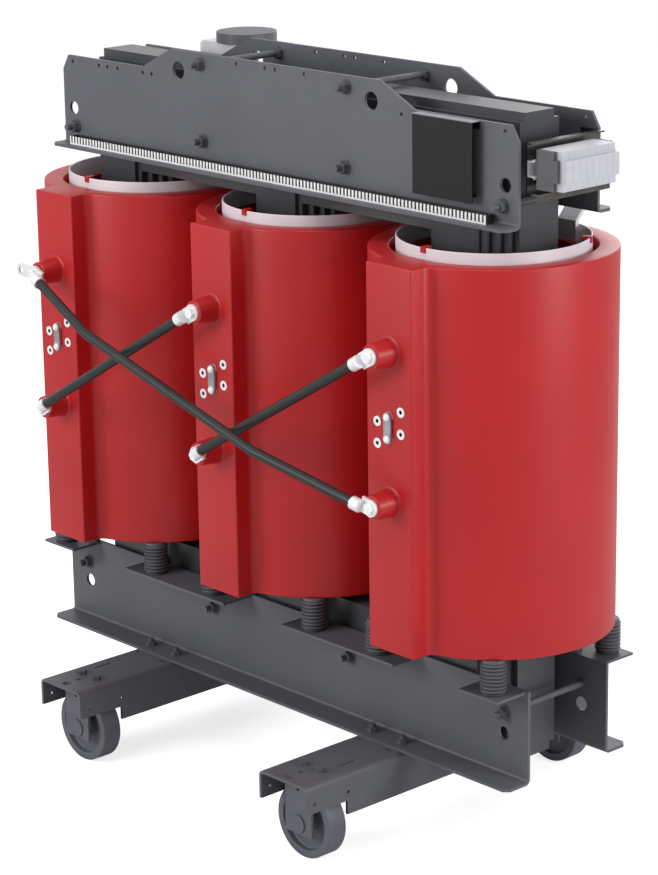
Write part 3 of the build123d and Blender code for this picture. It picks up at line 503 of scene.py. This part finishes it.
class Finishes(Enum):
    """Every finish on the transformer, with the record's slot that it stands in."""

    # Filled epoxy cast in a polished mould: deep red, with a satin skin and a soft clear gloss.
    RESIN = (
        Finish("cast_epoxy_resin_red", "B4161A", "AA1317", 0, (0.36, 0.44), 0.9, 220, 0.004, 1.45),
        "cast_resin",
    )
    # Powder coat on folded steel: mid grey with the faint orange peel that powder leaves.
    FRAME = (
        Finish("powder_coated_steel_grey", "57595F", "505258", 0, (0.42, 0.52), 2.2, 160, 0.03),
        "frame_paint",
    )
    # Sprayed enamel over sand-cast iron: a coarser skin and a bluer grey.
    IRON = (
        Finish("enamelled_cast_iron", "5A5D65", "51545C", 0, (0.40, 0.55), 1.6, 60, 0.06),
        "wheel_iron",
    )
    # Enamel on rolled nuts and rods: the frames' grey, slightly darker and duller.
    FASTENER = (
        Finish("enamelled_steel_fasteners", "54565C", "4A4C51", 0, (0.38, 0.5), 1.0, 30, 0.02),
        "dark_steel",
    )
    # Alkyd insulating varnish brushed over stacked sheets: dull dark grey with fine sheet edges.
    CORE = (
        Laminated("varnished_core_laminations", "424448", "3A3B3F", 0, (0.3, 0.42), 2, 120, 0.03),
        "core_lacquer",
    )
    # Glass-fibre laminate: white, slightly warm, with a faint weave-sized grain.
    BARRIER = (
        Finish("glass_fibre_laminate_white", "E2DAE0", "DAD2D8", 0, (0.35, 0.45), 1.2, 80, 0.01),
        "barrier_film",
    )
    # Hot-dip tin: near white, soft reflections and slight cloudiness.
    TIN = (
        Brushed("tinned_copper", "F0F0F2", "E4E5E8", 0.35, (0.26, 0.4), 0.6, 25, 0.01),
        "tinned_metal",
    )
    # Zinc plate on a flat link: mid grey metal.
    ZINC = (
        Brushed("zinc_plated_steel", "A6A7AA", "909195", 0.8, (0.3, 0.45), 0.5, 12, 0.01),
        "link_steel",
    )
    # Polyester moulding compound: near black, dull, with a faint mottle.
    INSULATOR = (
        Finish("moulded_polyester_grey", "505257", "46484C", 0, (0.45, 0.58), 1.2, 30, 0.03),
        "insulator_resin",
    )
    # Cross-linked sleeve shrunk over the rod: near black with a soft sheen.
    SLEEVE = (
        Finish("shrunk_polyolefin_sleeve", "1E1F20", "18191A", 0, (0.4, 0.52), 1.4, 45, 0.04, 1.42),
        "cable_jacket",
    )
    # Extruded aluminium bar: pale, with rolling streaks along its height.
    ALUMINIUM = (
        Brushed("extruded_aluminium_bar", "E6E7EA", "DADBDF", 0.35, (0.3, 0.45), 0.7, 60, 0.01),
        "bar_aluminium",
    )
    # Extruded rigid vinyl: white fingers with a low sheen in front of a black trunk.
    DUCT = (
        Parted(
            "rigid_vinyl_duct", "F4F4F4", "EEEEEE", 0, (0.4, 0.5), 1.0, 40, 0.01,
            beyond="0C0C0D", axis="Y", plane_mm=-128.4,
        ),
        "duct_plastic",
    )
    # Bright rolled strip, folded. Its colour is set dark grey as a painted reflection of its dark surroundings.
    STRIP_PAINTED_DARK_REFLECTION = (
        Brushed("bright_steel_strip_painted_dark_reflection", "75726F", "63605D", 1.0, (0.2, 0.32), 0.4, 30, 0.006),
        "tinned_metal",
    )
    # Painted shade: near black discs set just inside the free inserts' threaded holes stand in for the shade down the
    # holes.
    PAINTED_HOLE_SHADE = (
        Finish("painted_shade_threaded_hole", "050505", "040404", 0, (0.8, 0.9), 1.0, 10, 0.01, 1.2),
        "tinned_metal",
    )
    # Nickel plate on brass inserts: white and bright.
    INSERT = (
        Brushed("nickel_plated_insert", "F6F6F8", "ECEDF0", 0.2, (0.25, 0.35), 0.5, 10, 0.006),
        "tinned_metal",
    )
    # Anodised sheet, black: dense, with a fine even grain. Its upper edge turns out as a pale lip.
    PLATE = (
        Parted(
            "anodised_sheet_black", "0D0D0E", "0A0A0B", 0, (0.5, 0.6), 0.7, 60, 0.01, 1.35,
            beyond="8E9096", axis="Z", plane_mm=PLATE_LIP_MM,
        ),
        "black_plate",
    )
    # Polyamide housings: white and slightly glossy.
    TERMINAL = (
        Finish("moulded_polyamide_white", "BFC0C6", "B8B9C0", 0, (0.38, 0.46), 0.9, 30, 0.004),
        "terminal_plastic",
    )
    CLAMP = (
        Finish("moulded_polyamide_grey", "55565A", "4C4D51", 0, (0.4, 0.5), 0.9, 30, 0.02),
        "clamp_plastic",
    )

    @property
    def finish(self) -> Finish:
        """The finish itself."""
        return self.value[0]

    @property
    def slot(self) -> str:
        """The record's material slot."""
        return self.value[1]


def place(
    piece: bpy.types.Object, look: Finishes, body: str = BODY, stands_for: tuple[str, ...] = ()
) -> None:
    """Dress a new piece, tie it to its body and say what it stands for.

    Args:
        piece: The finished piece, at the origin.
        look: Its finish.
        body: The body that it moves with.
        stands_for: The solids that it replaces.
    """
    look.finish.dress(piece)
    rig.ride(piece, body)
    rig.slot(piece, look.slot)
    if stands_for:
        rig.replaces(piece, *stands_for)
    log.info("%s: %d faces, %s", piece.name, len(piece.data.polygons), look.finish.name)


def middle_of(node: str) -> Vector:
    """Centre of a solid's box, in metres."""
    low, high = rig.box(node)
    return (low + high) / 2


# ---- Windings --------------------------------------------------------------------------------------


@dataclass
class Windings:
    """Three cast high voltage windings, and inside each a barrier tube and the other winding."""

    outer: float = 228.5
    bore: float = 190.0
    block_half: float = 57.2
    block_face: float = 265.5
    block_corner: float = 3.0
    throat: float = 20.0
    edge: float = 3.0
    bushing_base: float = 26.0
    bushing_tip: float = 22.0
    bushing_length: float = 45.0
    bushing_flare: float = 5.0
    bushing_heights: tuple[float, float] = (707.0, 984.0)
    bushing_sunk: float = 6.0
    root_lift: float = 0.5
    tip_round: float = 2.0
    well_round: float = 0.6
    bolt_well: float = 6.2
    well_depth: float = 20.0
    barrier_wall: float = 3.0
    barrier_round: float = 1.2
    round_steps: int = 200

    def outline(self) -> tuple[np.ndarray, np.ndarray]:
        """Plan of the casting and the outward direction at each of its points.

        The plan is a circle with a block on the -Y side. Concave arcs of the throat radius,
        tangent to the circle and to the block's sides, lead from one to the other.

        Returns:
            Points and unit directions, in order round the casting, first repeated last.
        """
        reach = self.outer + self.throat
        throat_x = self.block_half + self.throat
        throat_y = -math.sqrt(reach**2 - throat_x**2)
        start = math.atan2(throat_y, throat_x)
        sweep = np.linspace(start, math.pi - start, self.round_steps)
        round_way = np.stack([np.cos(sweep), np.sin(sweep)], axis=1)
        hollow = np.linspace(start + math.pi, math.pi, 9)[::-1]
        hollow_way = -np.stack([np.cos(hollow), np.sin(hollow)], axis=1)
        hollow_points = np.array([throat_x, throat_y]) - self.throat * hollow_way
        bend = np.linspace(-math.pi / 2, 0, 5)
        bend_way = np.stack([np.cos(bend), np.sin(bend)], axis=1)
        inset = np.array([self.block_half, -self.block_face]) + self.block_corner * np.array([-1, 1])
        bend_points = inset + self.block_corner * bend_way
        right = np.concatenate([bend_points, hollow_points])
        right_way = np.concatenate([bend_way, hollow_way])
        left, left_way = right[::-1] * [-1, 1], right_way[::-1] * [-1, 1]
        points = np.concatenate([right, self.outer * round_way[1:-1], left, right[:1]])
        ways = np.concatenate([right_way, round_way[1:-1], left_way, right_way[:1]])
        return points, ways

    def casting(self, centre_x: float, low: float, high: float) -> np.ndarray:
        """Skin of one casting, carried round its outline.

        The wall goes down the outside, under, up the bore and over the top, with a quarter
        round of the edge radius at each turn. A point moves in along the outline's inward
        direction on the outside, and along the radius on the bore.

        Args:
            centre_x: Middle of the winding, in millimetres.
            low: Height of the lower face.
            high: Height of the upper face.

        Returns:
            A closed grid of points, in metres.
        """
        points, ways = self.outline()
        radius = np.linalg.norm(points, axis=1, keepdims=True)
        bore_points = points / radius * self.bore
        bore_ways = -points / radius
        turn = np.linspace(0, math.pi / 2, 5)
        inset, drop = self.edge * (1 - np.cos(turn)), self.edge * (1 - np.sin(turn))
        loops = []
        for inward, height in zip(inset, high - drop):
            loops.append((points - ways * inward, height))
        for inward, height in zip(inset[::-1], (high - drop)[::-1]):
            loops.append((bore_points - bore_ways * inward, height))
        for inward, height in zip(inset, low + drop):
            loops.append((bore_points - bore_ways * inward, height))
        for inward, height in zip(inset[::-1], (low + drop)[::-1]):
            loops.append((points - ways * inward, height))
        loops.append(loops[0])
        rows = [
            np.column_stack([loop + [centre_x, 0], np.full(len(loop), height)])
            for loop, height in loops
        ]
        return np.array(rows) * MM

    def bushing(self, centre_x: float, height: float) -> np.ndarray:
        """One bushing, turned about its own axis, with a flared root and a bolt well.

        Args:
            centre_x: Middle of the winding, in millimetres.
            height: Height of the bushing's axis.

        Returns:
            A grid of points, in metres.
        """
        root = self.bushing_base + self.bushing_flare
        profile = rounded(
            [
                (0, -self.bushing_sunk, 0),
                (root, -self.bushing_sunk, 0),
                (root, 0, 0),
                (self.bushing_base, self.root_lift, self.bushing_flare),
                (self.bushing_tip, self.bushing_length, self.tip_round),
                (self.bolt_well, self.bushing_length, self.well_round),
                (self.bolt_well, self.bushing_length - self.well_depth, 0),
                (0, self.bushing_length - self.well_depth, 0),
            ]
        )
        centre = Vector((centre_x, -self.block_face, height)) * MM
        return turned(profile, centre, "Y", 48)

    def build(self) -> None:
        """Make and dress the castings and the barrier tubes, and dress the inner windings."""
        for side in SIDES:
            node = "hv_coil_" + side
            low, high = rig.box(node)
            centre_x = (low.x + high.x) / 2 / MM
            sheets = [self.casting(centre_x, low.z / MM, high.z / MM)]
            sheets += [self.bushing(centre_x, height) for height in self.bushing_heights]
            place(grid_mesh("hv_winding_" + side, sheets), Finishes.RESIN, BODY, (node,))
            self.build_barrier(side)
            dress_nodes(Finishes.RESIN, "lv_coil_" + side)
        dress_nodes(Finishes.RESIN, "spacer_sticks")

    def build_barrier(self, side: str) -> None:
        """Make one barrier tube, a thin wall with softly rounded rims."""
        node = "barrier_cylinder_" + side
        low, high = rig.box(node)
        centre = (low + high) / 2
        outer = (high.x - low.x) / 2 / MM
        half = (high.z - low.z) / 2 / MM
        inner = outer - self.barrier_wall
        profile = rounded(
            [
                (outer, 0, 0),
                (outer, half, self.barrier_round),
                (inner, half, self.barrier_round),
                (inner, -half, self.barrier_round),
                (outer, -half, self.barrier_round),
                (outer, 0, 0),
            ],
            3,
        )
        sheet = turned(profile, centre, "Z", 160)
        place(grid_mesh("barrier_tube_" + side, [sheet]), Finishes.BARRIER, BODY, (node,))


# ---- Seats of the windings -------------------------------------------------------------------------


@dataclass
class PostInsulators:
    """Ribbed posts between the bottom frames and the castings, two a side under each winding."""

    offset_x: float = 150.0
    offset_y: float = 154.0
    rib: float = 25.0
    waist: float = 20.0
    seat: float = 22.0
    seat_height: float = 5.0
    ribs: int = 8
    profile_steps: int = 10
    swell_power: float = 0.7
    foot_bevel: float = 1.0

    def profile(self, height: float) -> np.ndarray:
        """Side line of a post: its radius swells as a raised cosine once for each rib.

        Args:
            height: Height of the post, in millimetres.

        Returns:
            Array of (radius, height) rows.
        """
        ribbed = height - 2 * self.seat_height
        share = np.linspace(0, 1, self.ribs * self.profile_steps + 1)
        swell = (0.5 - 0.5 * np.cos(2 * np.pi * self.ribs * share)) ** self.swell_power
        radius = self.waist + (self.rib - self.waist) * swell
        middle = np.column_stack([radius, self.seat_height + ribbed * share])
        bevel = self.foot_bevel
        foot = np.array(
            [[0, 0], [self.seat - bevel, 0], [self.seat, bevel], [self.seat, self.seat_height]]
        )
        head = foot[::-1] * [1, -1] + [0, height]
        return np.concatenate([foot, middle, head])

    def build(self) -> None:
        """Make all posts as one piece, and dress the plain posts and the bolts under them."""
        low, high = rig.box("post_insulators")
        profile = self.profile((high.z - low.z) / MM)
        sheets = []
        for side in SIDES:
            x = middle_of("hv_coil_" + side).x
            for sx in (-1, 1):
                for sy in (-1, 1):
                    foot = Vector((x + sx * self.offset_x * MM, sy * self.offset_y * MM, low.z))
                    sheets.append(turned(profile, foot, "Z", 32))
        posts = grid_mesh("ribbed_posts", sheets, 60)
        place(posts, Finishes.INSULATOR, BODY, ("post_insulators",))
        dress_nodes(Finishes.INSULATOR, "lv_posts", "bar_standoffs")
        dress_nodes(Finishes.FASTENER, "post_bolts")


# ---- Wheels ----------------------------------------------------------------------------------------


@dataclass
class Wheels:
    """Four flat-rimmed iron rollers, each on its own body, with forks and axles."""

    radius: float = 72.0
    width: float = 42.0
    rim: float = 15.0
    recess: float = 11.0
    hub: float = 22.0
    hub_length: float = 54.0
    bore: float = 10.05
    draft: float = 1.5
    tread_round: float = 2.0
    rim_round: float = 1.5
    web_round: float = 3.0
    hub_round: float = 1.0
    bore_round: float = 0.6

    def profile(self) -> np.ndarray:
        """Half section of a roller as a closed line: tread, dished webs, hub faces and bore."""
        half, hub_half = self.width / 2, self.hub_length / 2
        web = half - self.recess
        inner = self.radius - self.rim
        front = [
            (self.radius, half, self.tread_round),
            (inner, half, self.rim_round),
            (inner - self.draft, web, self.web_round),
            (self.hub + self.draft, web, self.web_round),
            (self.hub, hub_half, self.hub_round),
            (self.bore, hub_half, self.bore_round),
        ]
        back = [(r, -h, rounding) for r, h, rounding in front[::-1]]
        return rounded([(self.radius, 0, 0), *front, *back, (self.radius, 0, 0)], 4)

    def build(self) -> None:
        """Make each roller about its own axle, and dress the parts that hold it."""
        for corner in CORNERS:
            node = "wheel_" + corner
            sheet = turned(self.profile(), middle_of(node), "Y", 96)
            roller = grid_mesh("roller_" + corner, [sheet])
            place(roller, Finishes.IRON, node, (node,))
            dress_nodes(Finishes.IRON, "wheel_fork_" + corner)
        dress_nodes(Finishes.IRON, "axles")


# ---- Links of the high voltage side ----------------------------------------------------------------


@dataclass
class DeltaLinks:
    """Rigid insulated rods that cross the high voltage side, with their lugs and bolts."""

    names: tuple[str, ...] = ("delta_link_a", "delta_link_b", "delta_link_c")

    def build(self) -> None:
        """Dress the rods, lugs, bolts and flag."""
        dress_nodes(Finishes.SLEEVE, *self.names)
        dress_nodes(Finishes.TIN, "delta_lugs", "hv_flag")
        dress_nodes(Finishes.INSERT, "terminal_bolts")


@dataclass
class TapField:
    """Four free inserts and one bolted link on the front of each casting."""

    height: float = 846.3
    column: float = 30.0
    row: float = 40.5
    slope: float = 13.4
    face: float = 265.5
    hole: float = 3.8
    hole_play: float = 0.05
    plug: float = 1.0
    head_radius: float = 7.4
    head_rise: float = 5.2
    head_side: float = 1.6
    head_crown: float = 0.6
    link_top: float = 271.5

    def places(self, centre_x: float) -> tuple[list[Vector], list[Vector]]:
        """Where the free inserts and the link's screws are, in metres."""
        free, held = [], []
        half = self.row / 2
        for sx in (-1, 1):
            lift = sx * self.slope
            for sz in (-1, 1):
                spot = (centre_x + sx * self.column, -self.face, self.height + lift + sz * half)
                free.append(Vector(spot) * MM)
        for sz in (-1, 1):
            held.append(Vector((centre_x, -self.link_top, self.height + sz * half)) * MM)
        return free, held

    def build(self) -> None:
        """Make the near black discs of painted shade in the free holes and the domed screws, and dress the inserts and
        links.
        """
        edge = self.hole - self.hole_play
        # Painted shade: near black discs, one just inside each free insert's hole.
        shade_disc = np.array([[0, 0], [edge, 0], [edge, -self.plug], [0, -self.plug]])
        dome = rounded(
            [
                (0, 0, 0),
                (self.head_radius, 0, 0.5),
                (self.head_radius, self.head_side, 1.4),
                (self.head_radius * self.head_crown, self.head_rise, 3.0),
                (0, self.head_rise, 0),
            ],
            5,
        )
        painted_shade_discs, heads = [], []
        for side in SIDES:
            free, held = self.places(middle_of("hv_coil_" + side).x / MM)
            painted_shade_discs += [turned(shade_disc, spot, "Y", 24) for spot in free]
            heads += [turned(dome, spot, "Y", 32) for spot in held]
        # These discs take a near black finish that is painted shade.
        place(grid_mesh("tap_hole_bottoms", painted_shade_discs), Finishes.PAINTED_HOLE_SHADE)
        screws = grid_mesh("tap_link_domed_screws", heads)
        place(screws, Finishes.INSERT, BODY, ("tap_link_screws",))
        dress_nodes(Finishes.INSERT, "tap_inserts")
        dress_nodes(Finishes.ZINC, "tap_links")


# ---- Steelwork -------------------------------------------------------------------------------------


def dress_nodes(look: Finishes, *nodes: str) -> None:
    """Give solids that are shown as they are a finish.

    Args:
        look: The finish.
        *nodes: Names of the solids.
    """
    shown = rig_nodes()
    for node in nodes:
        look.finish.dress(shown[node])
        log.info("%s: %s", node, look.finish.name)


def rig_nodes() -> dict[str, bpy.types.Object]:
    """The solids' objects by name."""
    return {o["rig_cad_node"]: o for o in bpy.data.objects if "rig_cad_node" in o}


@dataclass
class Steelwork:
    """Core, clamping frames, rails, rods and the fittings on the frames."""

    frames: tuple[str, ...] = (
        "top_frame_front",
        "top_frame_back",
        "bottom_frame_front",
        "bottom_frame_back",
        "rail_left",
        "rail_right",
        "neutral_cap",
    )
    core: tuple[str, ...] = (
        "core_limb_left",
        "core_limb_centre",
        "core_limb_right",
        "top_yoke",
        "bottom_yoke",
    )
    fasteners: tuple[str, ...] = (
        "upper_clamp_rods",
        "lower_clamp_rods",
        "upper_clamp_nuts",
        "lower_clamp_nuts",
        "rail_bolts",
        "fork_bolts",
    )

    def build(self) -> None:
        """Dress every solid of the steelwork and its fittings."""
        dress_nodes(Finishes.FRAME, *self.frames)
        dress_nodes(Finishes.CORE, *self.core)
        dress_nodes(Finishes.FASTENER, *self.fasteners)
        dress_nodes(Finishes.ALUMINIUM, "lv_leads", "neutral_bar", "neutral_shelf")
        dress_nodes(Finishes.DUCT, "wiring_duct")
        dress_nodes(Finishes.PLATE, "rating_plate")
        dress_nodes(Finishes.TERMINAL, "terminal_blocks")
        dress_nodes(Finishes.CLAMP, "terminal_clamps")
        # The bracket's dark grey is a painted reflection of its dark surroundings, not the bright strip's own colour.
        dress_nodes(Finishes.STRIP_PAINTED_DARK_REFLECTION, "terminal_bracket")
        dress_nodes(Finishes.TIN, "din_rail")


# ---- Studio ----------------------------------------------------------------------------------------


@dataclass
class Studio:
    """Pale floor and surround, soft lamps and the camera."""

    azimuth: float = 47.562
    elevation: float = 16.046
    roll: float = -0.852
    camera_at: tuple[float, float, float] = (3946.3, -3579.2, 2208.7)
    focal_share: float = 2809.9 / 875
    frame_mm: float = 36.0
    far_clip: float = 100.0
    lamp_target: tuple[float, float, float] = (0.0, 0.0, 0.75)
    world_light: float = 0.36
    floor_reach: float = 8.0
    floor_grey: float = 0.8
    floor_lift: float = 0.72
    lamps: tuple[tuple[str, tuple[float, float, float], float, float], ...] = field(
        default_factory=lambda: (
            ("key", (-1.4, -4.6, 2.6), 2.4, 140.0),
            ("side", (4.6, 0.9, 2.0), 1.6, 105.0),
            ("top", (0.6, -0.6, 4.8), 3.0, 56.0),
            ("rear", (-1.5, 4.4, 2.6), 3.0, 70.0),
        )
    )

    def build_camera(self) -> None:
        """Make the camera from its bearing, height angle, roll and place."""
        a, e, r = (math.radians(v) for v in (self.azimuth, self.elevation, self.roll))
        back = Vector((math.sin(a) * math.cos(e), -math.cos(a) * math.cos(e), math.sin(e)))
        right = (-back).cross(Vector((0, 0, 1))).normalized()
        up = right.cross(-back)
        side = right * math.cos(r) + up * math.sin(r)
        top = up * math.cos(r) - right * math.sin(r)
        data = bpy.data.cameras.new("studio_camera")
        data.sensor_fit = "VERTICAL"
        data.sensor_height = self.frame_mm
        data.sensor_width = self.frame_mm
        data.lens = self.focal_share * self.frame_mm
        data.clip_end = self.far_clip
        camera = bpy.data.objects.new("studio_camera", data)
        turn = Matrix((side, top, back)).transposed().to_4x4()
        camera.matrix_world = Matrix.Translation(Vector(self.camera_at) * MM) @ turn
        bpy.context.scene.collection.objects.link(camera)
        bpy.context.scene.camera = camera

    def build_lamps(self) -> None:
        """Make square soft lamps that face the middle of the object."""
        target = Vector(self.lamp_target)
        for name, spot, size, watts in self.lamps:
            data = bpy.data.lights.new(name, "AREA")
            data.size = size
            data.energy = watts
            lamp = bpy.data.objects.new(name, data)
            lamp.location = spot
            lamp.rotation_euler = (target - lamp.location).to_track_quat("-Z", "Y").to_euler()
            bpy.context.scene.collection.objects.link(lamp)

    def build_world(self) -> None:
        """White to the camera and to reflections, and a soft pale light on the object."""
        world = bpy.data.worlds.new("studio_world")
        world.use_nodes = True
        tree = world.node_tree
        tree.nodes.clear()
        path = add_node(tree, "ShaderNodeLightPath")
        seen = add_node(
            tree,
            "ShaderNodeMath",
            {0: path.outputs["Is Camera Ray"], 1: path.outputs["Is Glossy Ray"]},
            operation="MAXIMUM",
        )
        clear = add_node(
            tree,
            "ShaderNodeMath",
            {0: seen.outputs[0], 1: path.outputs["Is Transmission Ray"]},
            operation="MAXIMUM",
        )
        glow = add_node(
            tree,
            "ShaderNodeMapRange",
            {0: clear.outputs[0], 1: 0.0, 2: 1.0, 3: self.world_light, 4: 1.0},
        )
        light = add_node(
            tree,
            "ShaderNodeBackground",
            {"Color": (1, 1, 1, 1), "Strength": glow.outputs[0]},
        )
        add_node(tree, "ShaderNodeOutputWorld", {"Surface": light.outputs[0]})
        bpy.context.scene.world = world

    def build_floor(self) -> None:
        """A pale painted floor that shows near white and keeps the object's shadow."""
        reach = np.linspace(-self.floor_reach, self.floor_reach, 9)
        x, y = np.meshgrid(reach, reach, indexing="ij")
        sheet = np.stack([x, y, np.zeros_like(x)], axis=-1)
        floor = grid_mesh("studio_floor", [sheet])
        made = bpy.data.materials.new("matt_painted_floor")
        made.use_nodes = True
        tree = made.node_tree
        tree.nodes.clear()
        path = add_node(tree, "ShaderNodeLightPath")
        matt = add_node(tree, "ShaderNodeBsdfDiffuse", {"Color": (*(self.floor_grey,) * 3, 1)})
        lift = add_node(
            tree,
            "ShaderNodeMath",
            {0: path.outputs["Is Camera Ray"], 1: self.floor_lift},
            operation="MULTIPLY",
        )
        glow = add_node(
            tree, "ShaderNodeEmission", {"Color": (1, 1, 1, 1), "Strength": lift.outputs[0]}
        )
        both = add_node(tree, "ShaderNodeAddShader", {0: matt.outputs[0], 1: glow.outputs[0]})
        add_node(tree, "ShaderNodeOutputMaterial", {"Surface": both.outputs[0]})
        floor.data.materials.append(made)
        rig.stage(floor)

    def build(self) -> None:
        """Set up the whole studio."""
        self.build_camera()
        self.build_lamps()
        self.build_world()
        self.build_floor()
        bpy.context.scene.view_settings.view_transform = "Standard"


# ---- The whole model -------------------------------------------------------------------------------


def main() -> None:
    """Load the solids, build and dress every sub-assembly, and write both boxes."""
    logging.basicConfig(level=logging.INFO, format="%(name)s: %(message)s")
    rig.load()
    solid_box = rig.bounds()
    Studio().build()
    Windings().build()
    PostInsulators().build()
    Wheels().build()
    DeltaLinks().build()
    TapField().build()
    Steelwork().build()
    boxes = {"cad": solid_box, "visual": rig.bounds()}
    with open("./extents.json", "w") as out:
        json.dump({name: [list(corner) for corner in box] for name, box in boxes.items()}, out)


if __name__ == "__main__":
    main()
